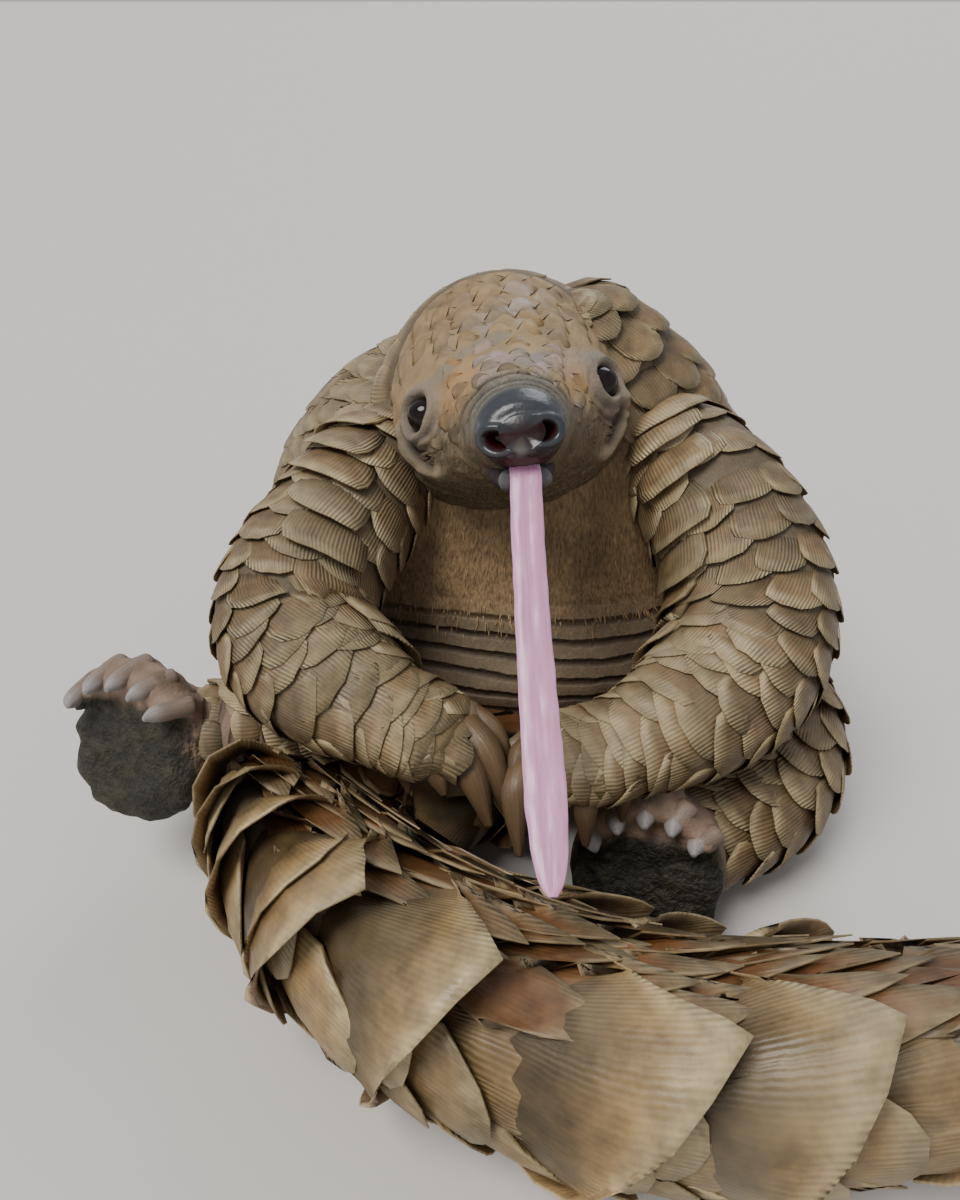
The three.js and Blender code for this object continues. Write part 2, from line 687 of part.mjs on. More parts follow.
const grown = {};
const finished = [];
const fat = (name) => (grown[name] ??= Manifold.union(makers[name](GAP), makers[name](0)));
const box = (m) => m.boundingBox();
const apart = (a, b) => [0, 1, 2].some((k) => a.min[k] > b.max[k] || b.min[k] > a.max[k]);

const COLOURS = { scale: 0x9a8468, skin: 0x7d6a58, claw: 0x8b7a66, eye: 0x14100e, tongue: 0xd9a0b4 };
const slotOf = (name) => {
  if (name.startsWith("claw") || name.startsWith("nail")) return "claw";
  if (name.startsWith("eye")) return "eye";
  if (name === "tongue") return "tongue";
  if (name === "head" || name.startsWith("ear") || name.startsWith("foot") || name.startsWith("hand")) return "skin";
  return "scale";
};

// A node cut clear of the others, moved a hair when the cut would leave its skin touching itself.
function cutClear(name, others) {
  for (const nudge of NUDGES) {
    const whole = makers[name](0).translate(nudge, 0, nudge);
    const cutters = others.filter((o) => !apart(box(whole), box(fat(o)))).map(fat);
    const cut = cutters.length ? whole.subtract(Manifold.union(cutters)) : whole;
    let solid = settled(cut.trimByPlane([0, 0, 1], FLOOR), MERGES);
    if (!solid) continue;
    // Closing up small detail can push a face into a neighbour, which keeps its place.
    const pushed = finished.filter((f) => !apart(box(solid), box(f.solid)) && solid.intersect(f.solid).volume() > TOUCH);
    if (pushed.length) solid = settled(solid.subtract(Manifold.union(pushed.flatMap((f) => [f.solid, fat(f.name)]))), SLIVERS);
    if (solid) return solid;
  }
  throw new Error(name + " has no sound cut");
}

const pangolin = new THREE.Group();
pangolin.name = "pangolin";
for (const [name, others] of plan) {
  const solid = cutClear(name, others);
  finished.push({ name, solid });
  const mesh = solid.getMesh();
  const g = new THREE.BufferGeometry();
  g.setAttribute("position", new THREE.BufferAttribute(mesh.vertProperties, mesh.numProp));
  g.setIndex(new THREE.BufferAttribute(mesh.triVerts, 1));
  g.computeVertexNormals();
  const made = new THREE.Mesh(g, new THREE.MeshStandardMaterial({ color: COLOURS[slotOf(name)], roughness: 0.8 }));
  made.name = name;
  pangolin.add(made);
}

export default pangolin;
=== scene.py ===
"""A young ground pangolin sitting up on its rump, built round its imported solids.

Shapes are worked out in millimetres from the same rows as the solids and scaled to metres when a
mesh is written. The face looks along -Y, the animal's own left is +X and the floor is z = 0.
"""

import bpy
import numpy as np
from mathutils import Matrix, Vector


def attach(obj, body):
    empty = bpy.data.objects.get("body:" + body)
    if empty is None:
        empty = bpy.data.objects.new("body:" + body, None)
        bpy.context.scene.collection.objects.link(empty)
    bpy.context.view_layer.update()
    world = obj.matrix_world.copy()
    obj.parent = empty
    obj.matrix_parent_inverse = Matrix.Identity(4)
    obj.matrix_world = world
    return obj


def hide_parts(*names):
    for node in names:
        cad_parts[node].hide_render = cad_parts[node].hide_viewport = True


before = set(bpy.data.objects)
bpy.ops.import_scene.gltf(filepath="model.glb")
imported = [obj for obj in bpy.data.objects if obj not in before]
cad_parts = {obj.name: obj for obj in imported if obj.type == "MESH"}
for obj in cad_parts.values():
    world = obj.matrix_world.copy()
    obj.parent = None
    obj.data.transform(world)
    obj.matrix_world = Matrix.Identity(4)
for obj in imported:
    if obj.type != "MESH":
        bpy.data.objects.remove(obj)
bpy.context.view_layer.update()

bl_info = {
    "name": "Sitting pangolin",
    "version": (1, 0, 0),
    "blender": (4, 5, 0),
    "location": "3D View > Sidebar > Pangolin",
    "description": "Builds a sitting pangolin with its scales, skin, claws, eyes and tongue",
    "category": "Add Mesh",
}

MM = 0.001
TURN = 2 * np.pi
RIPPLE_PEAK = 3.2
ENDS = np.array([0.0, 1.0])
SIDES = ("right", "left")

# Rows of each form: x, y, z, half width, rise, drop, lean in degrees.
TORSO = [
    [0, 0, 0, 30, 26, 24, 0], [1, 3, 5, 60, 52, 44, 0], [2, 6, 16, 80, 70, 60, 0],
    [2, 8, 34, 94, 82, 78, 0], [2, 6, 60, 101, 86, 82, 0], [1, 1, 86, 95, 80, 68, 0],
    [2, -5, 110, 82, 70, 52, 0], [3, -10, 131, 63, 54, 40, 0], [1, -12, 145, 41, 37, 27, 0],
    [-5, -12, 152, 12, 14, 10, 0],
]
HEAD = [
    [-5.2, -99.2, 153.6, 6, 4.5, 4.5, 0], [-5.2, -96.6, 152.6, 11, 8.5, 8.5, 0],
    [-5.2, -87, 149.5, 12.5, 11.5, 11.5, 0], [-5.4, -73.5, 144, 17.5, 17, 15, 0],
    [-6, -60, 138, 29, 26, 19, 0], [-6, -48.8, 133.6, 35.5, 38, 23, 0],
    [-6, -37.7, 129, 39, 49, 27, 0],
]
JAW = [
    [-5.4, -60, 128, 15, 8, 8, 0], [-4.9, -77, 135, 11.5, 6.5, 6, 0],
    [-4.2, -89.5, 137, 8.6, 4.5, 4, 0], [-4, -96.5, 138.6, 5.6, 3.4, 3, 0],
]
NECK = [
    [-6, -37.7, 129, 39, 49, 27, 0], [-6, -26.5, 124.6, 45, 51, 31, 0],
    [-5, -15, 120, 50, 47, 36, 0], [-4, -5, 116, 54, 36, 40, 0],
]
TAIL = [
    [4, -28, 0, 42, 8, 24, 0], [-16, -58, 0, 42, 8, 24, 0], [-42, -83, 2, 39, 8, 23, 4],
    [-60, -107, 0, 36, 8, 24, 22], [-57, -134, 0, 34, 13, 30, 44], [-38, -157, 0, 35, 14, 32, 42],
    [-14, -173, 0, 35, 14, 32, 38], [12, -184, 0, 34, 14, 31, 36], [40, -190, 2, 33, 13, 30, 38],
    [80, -190, 7, 30, 12, 27, 44], [118, -183, 9, 24, 9, 20, 44], [148, -170, 8, 14, 6, 12, 34],
    [158, -164, 8, 6, 3, 6, 26],
]
TAIL_CLEAR = 4.5
ARM_RIGHT = [
    [-42, -20, 116, 17, 17, 17, 0], [-51, -42, 113, 21, 21, 21, 0], [-62, -62, 104, 23, 23, 23, 0],
    [-71, -79, 94, 24, 24, 24, 0], [-72, -91, 86, 23.5, 23.5, 23.5, 0],
    [-66, -101, 82, 22, 22, 22, 0], [-55, -110, 79, 19, 19, 19, 0], [-43, -118, 77, 15, 14, 14, 0],
    [-35, -122, 76, 15.5, 11, 12, 0], [-28, -125, 75, 15, 9, 10, 0], [-24, -127, 74, 10, 5, 6, 0],
]
ARM_LEFT = [
    [42, -20, 118, 18, 18, 18, 0], [54, -42, 114, 23, 23, 23, 0], [65, -62, 101, 25, 25, 25, 0],
    [69, -79, 87, 25, 25, 25, 0], [65, -92, 77, 24, 24, 24, 0], [55, -103, 72, 22, 22, 22, 0],
    [41, -113, 69, 18.5, 18.5, 18.5, 0], [27, -121, 68, 14.5, 14, 14, 0],
    [17, -125, 68, 15, 11, 12, 0], [8, -127, 68, 14, 9, 10, 0], [2, -128, 67, 9, 5, 6, 0],
]
LEG_RIGHT = [
    [-58, -16, 42, 22, 22, 22, 0], [-66, -46, 44, 24, 22, 22, 0], [-67, -68, 47, 20, 17, 17, 0],
    [-67, -84, 50, 16, 15, 15, 0], [-75, -94, 51, 14.5, 14.5, 14.5, 0],
    [-86, -97, 52, 14, 14.5, 14.5, 0], [-97, -97, 51, 14, 15, 15, 0],
    [-106, -96, 50, 13, 14, 14, 0],
]
LEG_LEFT = [
    [58, -16, 38, 22, 22, 22, 0], [76, -44, 36, 26, 26, 26, 0], [84, -68, 33, 25, 24, 24, 0],
    [84, -86, 29, 22, 21, 21, 0], [76, -99, 26, 20, 20, 20, 0], [65, -107, 25, 18.5, 18.5, 18.5, 0],
    [54, -113, 24, 17, 17, 17, 0], [44, -119, 24, 15, 15, 15, 0],
]
FOOT_RIGHT = [
    [-112, -86, 42, 13, 13, 13, 0], [-115, -91, 45, 19, 19, 19, 0], [-119, -98, 48, 22.5, 23, 23, 0],
    [-123, -105, 52, 23, 24.5, 24, 0], [-124.5, -108.5, 54, 17, 19, 18, 0],
]
FOOT_LEFT = [
    [44, -108, 22, 13, 13, 13, 0], [41, -115, 23, 19, 20, 20, 0], [37, -124, 25, 22.5, 24.5, 24.5, 0],
    [33, -134, 27, 23, 26, 27, 0], [32, -138, 28.5, 17, 20, 20, 0],
]
TONGUE = [
    [-4.3, -90.5, 144.2, 3.6, 1, 1, 0], [-4, -99, 141, 4.2, 1.2, 1.2, 0],
    [-3.4, -114, 126.5, 4.4, 1.2, 1.2, 0], [-2.4, -131, 111, 4.6, 1.2, 1.2, 0],
    [-1.4, -150, 99, 4.9, 1.2, 1.2, 0], [-0.6, -167, 89.5, 5, 1.2, 1.2, 0],
    [-0.1, -180, 82.5, 3.6, 1, 1, 0], [0.1, -185, 80, 1.2, 0.7, 0.7, 0],
]
# Claws: root, knee of the curve, tip, half width at the root.
CLAWS_RIGHT = [
    [[-31, -127, 73], [-28, -134, 70], [-26, -138, 66], 4.4],
    [[-27, -124, 75], [-19, -135, 71], [-14.5, -142.5, 61], 5.2],
    [[-22, -121, 76], [-14, -131, 72], [-9, -138, 60], 5.2],
    [[-20, -116, 76], [-12, -122, 73], [-8, -127, 67], 3.6],
    [[-38, -125, 70], [-37, -130, 66], [-36, -133, 62], 3.2],
]
CLAWS_LEFT = [
    [[1, -123, 71], [-5, -129, 71], [-7, -135, 68], 3.4],
    [[1, -127, 68], [-6, -137, 66], [-5.5, -147, 55], 5],
    [[7, -128, 66], [3, -140, 62], [3, -149, 51], 5],
    [[14, -127, 64], [13, -137, 61], [13, -143, 53], 4.4],
    [[22, -127, 62], [24, -132, 58], [24, -135, 53], 3.2],
]
CLAWS = {"right": CLAWS_RIGHT, "left": CLAWS_LEFT}
HAND_ENDS = {"right": (-35, -120, 76), "left": (17, -123, 69)}
# Nails stand at these degrees round a foot's end.
NAIL_ANGLES = [38, 62, 86, 110, 134]
NAIL_WIDE = 3.3
EYE_RADIUS = 5.7
EYE_SINK = 2.6
# The head is rolled a little to its right, round a middle line at this x.
ROLLED = (-0.139, 0, 0.99)
HEAD_MIDDLE = -5
# Features of the face: u and v on the head for eyes and ears, x, y, z for the rest.
EYES = [(0.725, 0.055), (0.665, 0.443)]
EYE_LEANS = (0.25, -0.25)
EYE_HALF_HEIGHTS = (4.5, 5.3)
EYE_HALF_WIDTH = 5.5
EARS = [
    ([(0.79, 0.478), (0.755, 0.505), (0.7, 0.545), (0.64, 0.578)],
     [(0.74, 0.487), (0.69, 0.52), (0.645, 0.553)]),
    ([(0.8, 0.015), (0.765, 0.985), (0.73, 0.945), (0.7, 0.905)],
     [(0.76, 1.005), (0.72, 0.975), (0.695, 0.94)]),
]
NOSTRILS = [(-12, -98.8, 151.2), (0.4, -98.2, 153.8)]
SEPTUM = (-5.6, -100, 152)
MOUTH = (-4.4, -97.5, 145.2)
LIP = (-4.4, -97, 145)
LOWER_LIPS = [(-8.6, -96.5, 139.2), (0.8, -96.5, 139.8)]
# Rings along and sides round the closed tubes.
HEAD_GRID = (230, 270)
JAW_GRID = (60, 60)
TONGUE_GRID = (120, 36)
EYE_GRID = (40, 48)
CORNEA = 0.07
# Crown scales keep this far from the middle of an eye.
EYE_CLEAR = 13
# Creases over the nose's bridge: place along the head and depth.
BRIDGE_CREASES = [(0.3, 0.55), (0.345, 0.75), (0.4, 0.6), (0.46, 0.4)]
BELLY_FOLD_PITCH = 6
ANKLE_FOLD_PITCH = 4.5


# Forms
def cubic(rows, t):
    """A smooth curve through evenly spaced rows: Hermite pieces whose slopes are half the step
    from the row before to the row after."""
    rows = np.asarray(rows, float)
    last = len(rows) - 1
    x = np.clip(t, 0, 1) * last
    i = np.minimum(np.floor(x).astype(int), last - 1)
    f = (x - i)[..., None]
    before, here = rows[np.maximum(i - 1, 0)], rows[i]
    there, after = rows[i + 1], rows[np.minimum(i + 2, last)]
    start = (2 * f**3 - 3 * f**2 + 1) * here + (f**3 - 2 * f**2 + f) * (there - before) / 2
    return start + (3 * f**2 - 2 * f**3) * there + (f**3 - f**2) * (after - here) / 2


def unit(v):
    """Vectors over their own lengths."""
    return v / np.maximum(np.linalg.norm(v, axis=-1, keepdims=True), 1e-9)


def smooth(low, high, x):
    """A step from 0 at low to 1 at high: three t squared less two t cubed."""
    t = np.clip((x - low) / (high - low), 0, 1)
    return t * t * (3 - 2 * t)


def bump(x, width):
    """A bell: e to minus the square of x over the width."""
    return np.exp(-((x / width) ** 2))


class Form:
    """A tube of half ellipses carried along a curve of rows.

    A point is the row's middle, plus the half width times cos of the turn along its side axis,
    plus the rise or the drop times sin of the turn along its upward axis.
    """

    def __init__(self, rows, up):
        self.rows = np.array(rows, float)
        self.up = np.array(up, float)
        self.long = np.linalg.norm(np.diff(self.rows[:, :3], axis=0), axis=1).sum()

    def axes(self, u):
        """The row at u with its directions ahead, to the side and upward, turned by the lean."""
        row = cubic(self.rows, u)
        ahead = cubic(self.rows, np.minimum(u + 1e-3, 1)) - cubic(self.rows, np.maximum(u - 1e-3, 0))
        ahead = unit(ahead[..., :3])
        flat = unit(np.cross(ahead, self.up))
        rise = np.cross(flat, ahead)
        lean = np.radians(row[..., 6:7])
        side = flat * np.cos(lean) + rise * np.sin(lean)
        upward = rise * np.cos(lean) - flat * np.sin(lean)
        return row, ahead, side, upward

    def at(self, u, v):
        """The point at u along and v round; past either end it goes straight on."""
        u, v = np.broadcast_arrays(np.asarray(u, float), np.asarray(v, float))
        c = np.clip(u, 0, 1)
        row, ahead, side, upward = self.axes(c)
        turn = v * TURN
        high = np.sin(turn)
        wide = row[..., 3] * np.cos(turn)
        tall = np.where(high > 0, row[..., 4], row[..., 5]) * high
        point = row[..., :3] + side * wide[..., None] + upward * tall[..., None]
        return point + ahead * ((u - c) * self.long)[..., None]

    def slopes(self, u, v):
        """How the point moves with u and with v, and the outward normal, their cross product."""
        e = 2e-3
        c = np.clip(u, e, 1 - e)
        du = (self.at(c + e, v) - self.at(c - e, v)) / (2 * e)
        dv = (self.at(c, v + e) - self.at(c, v - e)) / (2 * e)
        return du, dv, unit(np.cross(du, dv))

    def off(self, u, v, height):
        """A point at a height over the skin."""
        _, _, out = self.slopes(u, v)
        return self.at(u, v) + out * np.asarray(height)[..., None]


TAIL_ROWS = np.array(TAIL, float)
TAIL_LEAN = np.radians(TAIL_ROWS[:, 6])
TAIL_ROWS[:, 2] += TAIL_CLEAR + np.hypot(
    TAIL_ROWS[:, 3] * np.sin(TAIL_LEAN), TAIL_ROWS[:, 5] * np.cos(TAIL_LEAN)
)
Z = (0, 0, 1)
FORMS = {
    "torso": Form(TORSO, (0, 1, 0)),
    "head": Form(HEAD, ROLLED),
    "jaw": Form(JAW, ROLLED),
    "neck": Form(NECK, ROLLED),
    "tail": Form(TAIL_ROWS, Z),
    "arm_right": Form(ARM_RIGHT, Z),
    "arm_left": Form(ARM_LEFT, Z),
    "leg_right": Form(LEG_RIGHT, Z),
    "leg_left": Form(LEG_LEFT, Z),
    "foot_right": Form(FOOT_RIGHT, Z),
    "foot_left": Form(FOOT_LEFT, Z),
    "tongue": Form(TONGUE, Z),
}


# Meshes
def tube_faces(rings, sides):
    """Quads of a closed tube of rings by sides, with a fan at each end to its own hub."""
    i, j = np.meshgrid(np.arange(rings - 1), np.arange(sides), indexing="ij")
    k = (j + 1) % sides
    quads = np.stack([i * sides + j, (i + 1) * sides + j, (i + 1) * sides + k, i * sides + k], -1)
    ring = np.arange(sides)
    after = (ring + 1) % sides
    hub = rings * sides
    start = np.stack([np.full(sides, hub), ring, after], -1)
    end = np.stack([np.full(sides, hub + 1), (rings - 1) * sides + after, (rings - 1) * sides + ring], -1)
    return quads.reshape(-1, 4), np.concatenate([start, end])


def form_tube(form, rings, sides):
    """The closed skin of a form: rings by sides points and the middle of each end."""
    u, v = np.meshgrid(np.linspace(0, 1, rings), np.arange(sides) / sides, indexing="ij")
    points = form.at(u, v).reshape(-1, 3)
    ends = cubic(form.rows, ENDS)[:, :3]
    return np.concatenate([points, ends]), tube_faces(rings, sides), u.ravel(), v.ravel()


def mesh_object(name, points, polygons, material, colours=None, layers=None, uv=None, flat=None):
    """A mesh of the points in millimetres, with colours and float layers on its points."""
    mesh = bpy.data.meshes.new(name)
    mesh.from_pydata((np.asarray(points) * MM).tolist(), [], polygons)
    mesh.update()
    if colours is not None:
        layer = mesh.color_attributes.new("tone", "FLOAT_COLOR", "POINT")
        rgba = np.concatenate([colours, np.ones((len(colours), 1))], 1)
        layer.data.foreach_set("color", rgba.astype(np.float32).ravel())
    for key, values in (layers or {}).items():
        layer = mesh.attributes.new(key, "FLOAT_VECTOR", "POINT")
        layer.data.foreach_set("vector", np.asarray(values, np.float32).ravel())
    if uv is not None:
        loops = np.zeros(len(mesh.loops), np.int32)
        mesh.loops.foreach_get("vertex_index", loops)
        layer = mesh.uv_layers.new(name="OFBake")
        layer.data.foreach_set("uv", np.asarray(uv, np.float32)[loops].ravel())
    smooth_faces = np.ones(len(mesh.polygons), bool)
    if flat is not None:
        smooth_faces &= ~flat
    mesh.polygons.foreach_set("use_smooth", smooth_faces)
    mesh.materials.append(material)
    made = bpy.data.objects.new(name, mesh)
    bpy.context.scene.collection.objects.link(made)
    return made


def declare(piece, slot, *nodes):
    """The body, the slot and the solids that a piece stands for. The slot is not used."""
    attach(piece, "root")
    if nodes:
        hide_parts(*nodes)


def join_parts(parts):
    """Points and polygons of several closed parts as one mesh."""
    points, polygons, start = [], [], 0
    for part_points, part_faces in parts:
        points.append(part_points)
        for faces in part_faces:
            polygons.extend((faces + start).tolist())
        start += len(part_points)
    return np.concatenate(points), polygons


def srgb(red, green, blue):
    """A colour given as 0 to 255 of a screen, as linear light."""
    return (np.array([red, green, blue], float) / 255) ** 2.2


def blend(base, over, amount):
    """One colour laid over another by an amount from 0 to 1."""
    amount = np.asarray(amount)[..., None]
    return base * (1 - amount) + np.asarray(over) * amount


def coated(tone, *coats):
    """Colours laid over each other in turn, each by its own amount."""
    for colour, amount in coats:
        tone = blend(tone, colour, amount)
    return tone


def spread(colour, points):
    """The same colour for every point."""
    return np.broadcast_to(np.array(colour), points.shape)


def ripple(points, scale, seed):
    """Smooth noise of about -1 to 1: a sum of six plane waves with seeded directions and phases."""
    random = np.random.default_rng(seed)
    total = np.zeros(len(points))
    for _ in range(6):
        way = random.normal(size=3)
        way = way / np.linalg.norm(way) * TURN / (scale * random.uniform(0.6, 1.5))
        total += np.sin(points @ way + random.uniform(0, TURN))
    return total / RIPPLE_PEAK


# Shader maths
class Wire:
    """A socket of a material that can be used in sums; each sum adds its node."""

    def __init__(self, book, socket):
        self.book = book
        self.socket = socket

    def maths(self, operation, other, swap=False):
        """This socket and another, or a number, put together; swapped, the other comes first."""
        pair = (other, self) if swap else (self, other)
        return self.book.node("ShaderNodeMath", {"operation": operation}, {0: pair[0], 1: pair[1]})

    def __add__(self, other):
        return self.maths("ADD", other)

    def __sub__(self, other):
        return self.maths("SUBTRACT", other)

    def __rsub__(self, other):
        return self.maths("SUBTRACT", other, True)

    def __mul__(self, other):
        return self.maths("MULTIPLY", other)

    __radd__ = __add__
    __rmul__ = __mul__


class Finish:
    """A material and its nodes."""

    def __init__(self, name, roughness, **constants):
        self.material = bpy.data.materials.new(name)
        self.material.use_nodes = True
        self.tree = self.material.node_tree
        self.shader = self.tree.nodes["Principled BSDF"]
        self.shader.inputs["Roughness"].default_value = roughness
        for key, value in constants.items():
            self.shader.inputs[key.replace("_", " ")].default_value = value
        coordinates = self.tree.nodes.new("ShaderNodeTexCoord")
        self.place = Wire(self, coordinates.outputs["Object"])

    def node(self, kind, settings, values, output=0):
        """Any node: its settings are set first, then its sockets get values or links."""
        made = self.tree.nodes.new(kind)
        for key, value in settings.items():
            if key == "stops":
                self.stops(made.color_ramp, value)
            else:
                setattr(made, key, value)
        for key, value in values.items():
            if isinstance(value, Wire):
                self.tree.links.new(value.socket, made.inputs[key])
            else:
                made.inputs[key].default_value = value
        return Wire(self, made.outputs[output])

    def stops(self, ramp, stops):
        """Places and colours of a ramp."""
        while len(ramp.elements) < len(stops):
            ramp.elements.new(0.5)
        for element, (place, colour) in zip(ramp.elements, stops):
            element.position = place
            element.color = (*colour, 1)

    def noise(self, scale, detail=3.0, rough=0.55, vector=None):
        """Noise from 0 to 1 over the object's own metres, unless another vector is given."""
        values = {"Vector": vector or self.place, "Scale": scale, "Detail": detail, "Roughness": rough}
        return self.node("ShaderNodeTexNoise", {}, values)

    def layer(self, name, output="Vector"):
        """A layer of the points."""
        return self.node("ShaderNodeAttribute", {"attribute_name": name}, {}, output)

    def parts(self, vector):
        """The three numbers of a vector."""
        return [self.node("ShaderNodeSeparateXYZ", {}, {0: vector}, axis) for axis in range(3)]

    def scaled(self, vector, size):
        """A vector times a size on each axis."""
        return self.node("ShaderNodeVectorMath", {"operation": "MULTIPLY"}, {0: vector, 1: size})

    def sine(self, phase):
        """A wave from -1 to 1."""
        return self.node("ShaderNodeMath", {"operation": "SINE"}, {0: phase})

    def shades(self, red, green, blue):
        """A colour of three numbers."""
        return self.node("ShaderNodeCombineColor", {}, {0: red, 1: green, 2: blue})

    def ramp(self, value, *stops):
        """A colour between the stops' colours, by the value."""
        return self.node("ShaderNodeValToRGB", {"stops": stops}, {0: value})

    def mix(self, way, amount, first, second):
        """Two colours mixed or multiplied by an amount."""
        settings = {"data_type": "RGBA", "blend_type": way}
        return self.node("ShaderNodeMix", settings, {0: amount, 6: first, 7: second}, 2)

    def mottled(self, pattern, dark, light):
        """The colour on the points, multiplied by dark to light along a pattern."""
        ramp = self.ramp(pattern, (0.3, dark), (0.7, light))
        return self.mix("MULTIPLY", 1.0, self.layer("tone", "Color"), ramp)

    def span(self, value, low, high, start=0.0, end=1.0):
        """A straight step from start at low to end at high."""
        values = {0: value, 1: low, 2: high, 3: start, 4: end}
        return self.node("ShaderNodeMapRange", {"clamp": True}, values)

    def colour(self, wire):
        """The wire as the finish's colour."""
        self.tree.links.new(wire.socket, self.shader.inputs["Base Color"])

    def rough(self, wire):
        """The wire as the finish's roughness."""
        self.tree.links.new(wire.socket, self.shader.inputs["Roughness"])

    def relief(self, height, distance, strength=1.0):
        """Fine relief of a height in shares of a distance in mm."""
        values = {"Height": height, "Distance": distance * MM, "Strength": strength}
        raised = self.node("ShaderNodeBump", {}, values)
        self.tree.links.new(raised.socket, self.shader.inputs["Normal"])


def horn_finish(look):
    """Dry horn: the colour on the points, mottled and dusted, with fine ridges along each scale."""
    made = Finish("dusty_horn", 0.55)
    cross, along, ridged = made.parts(made.layer("vane"))
    ridges = made.sine(cross)
    mottle = made.noise(170, 4)
    worn = made.span(made.noise(45, 2), 0.3, 0.5, 0.35, 1.0)
    shown = ridged * made.span(along, 0.2, 0.4) * worn
    shade = made.mottled(mottle, (0.6, 0.57, 0.53), (1.2, 1.16, 1.1))
    line = made.span(ridges, -0.9, 0.9, 0.78, 1.06)
    shade = made.mix("MULTIPLY", shown * 0.85, shade, made.shades(line, line, line))
    dust = made.span(made.noise(24, 3), 0.5, 0.72) * look.dust
    made.colour(made.mix("MIX", dust, shade, (*look.dust_colour, 1)))
    made.rough(made.span(made.noise(60, 2), 0.35, 0.65, 0.4, 0.68))
    made.relief(ridges * shown * 0.3 + mottle * 0.5 + made.noise(500, 3) * 0.3, 0.45)
    return made.material


def skin_finish():
    """Bare skin and close fur: the colour on the points, mottled, with pores, hairs and wrinkles,
    painted shade darkening the wrinkles' grooves, and clods and grit on the soles."""
    made = Finish("wrinkled_skin", 0.6)
    fur, wet, grime = made.parts(made.layer("kind"))
    blotches = made.noise(110, 5, 0.6)
    shade = made.mottled(blotches, (0.72, 0.7, 0.68), (1.14, 1.12, 1.1))
    hairs = made.noise(1.0, 3, 0.6, made.scaled(made.place, (1300, 1300, 230)))
    hair_shade = made.span(hairs, 0.3, 0.7, 0.5, 1.4)
    shade = made.mix("MULTIPLY", fur, shade, made.shades(hair_shade, hair_shade, hair_shade))
    clods = made.span(made.noise(240, 4, 0.65), 0.4, 0.68, 0.6, 2.3)
    shade = made.mix("MULTIPLY", grime, shade, made.shades(clods, clods, clods * 0.9))
    grit = made.span(made.noise(900, 3, 0.7), 0.52, 0.66) * grime
    shade = made.mix("MIX", grit * 0.8, shade, (0.03, 0.027, 0.02, 1))
    phase, deep, _ = made.parts(made.layer("crease"))
    groove = made.span(made.sine(phase + blotches * 2.5), 0.1, 0.95) * deep
    # Painted shade: the colour darkens in the grooves of the belly folds and ankle wrinkles.
    made.colour(made.mix("MULTIPLY", groove * 0.85, shade, (0.2, 0.17, 0.13, 1)))
    made.rough(made.span(wet, 0, 1, 0.68, 0.3))
    pores = made.node("ShaderNodeTexVoronoi", {"feature": "F1"}, {"Vector": made.place, "Scale": 900})
    height = hairs * fur * 0.8 + pores * (1 - fur) * (1 - wet * 0.7) * 0.35
    height = height + (made.noise(420, 3) * 3.2 + clods * 0.9) * grime - groove * 2.6
    made.relief(height + blotches * (1 - wet * 0.8) * 0.4, 0.5, 0.85)
    return made.material


def claw_finish():
    """Worn horn: streaks along each claw, pale where it is rubbed."""
    made = Finish("claw_horn", 0.42)
    streaks = made.noise(1.0, 3, 0.6, made.scaled(made.layer("vane"), (14, 1.3, 50)))
    made.colour(made.mottled(streaks, (0.6, 0.58, 0.55), (1.2, 1.17, 1.12)))
    made.rough(made.span(made.noise(300, 3), 0.3, 0.7, 0.3, 0.55))
    made.relief(streaks * 0.5 + made.noise(800, 2) * 0.2, 0.35)
    return made.material


def eye_finish():
    """A wet, almost black eye with faint brown flecks."""
    made = Finish("dark_eye", 0.03, IOR=1.34)
    black, brown = (0.003, 0.0025, 0.003), (0.02, 0.012, 0.008)
    made.colour(made.ramp(made.noise(500, 2), (0.3, black), (0.8, brown)))
    return made.material


def tongue_finish():
    """Wet pink tongue with faint streaks along it."""
    made = Finish("wet_tongue", 0.3, Subsurface_Weight=0.25, Subsurface_Scale=0.004)
    streaks = made.noise(1.0, 3, 0.5, made.scaled(made.layer("vane"), (5, 1.2, 0)))
    made.colour(made.mottled(streaks, (0.86, 0.76, 0.84), (1.08, 1.06, 1.08)))
    made.relief(streaks * 0.4 + made.noise(1200, 2) * 0.2, 0.2)
    return made.material
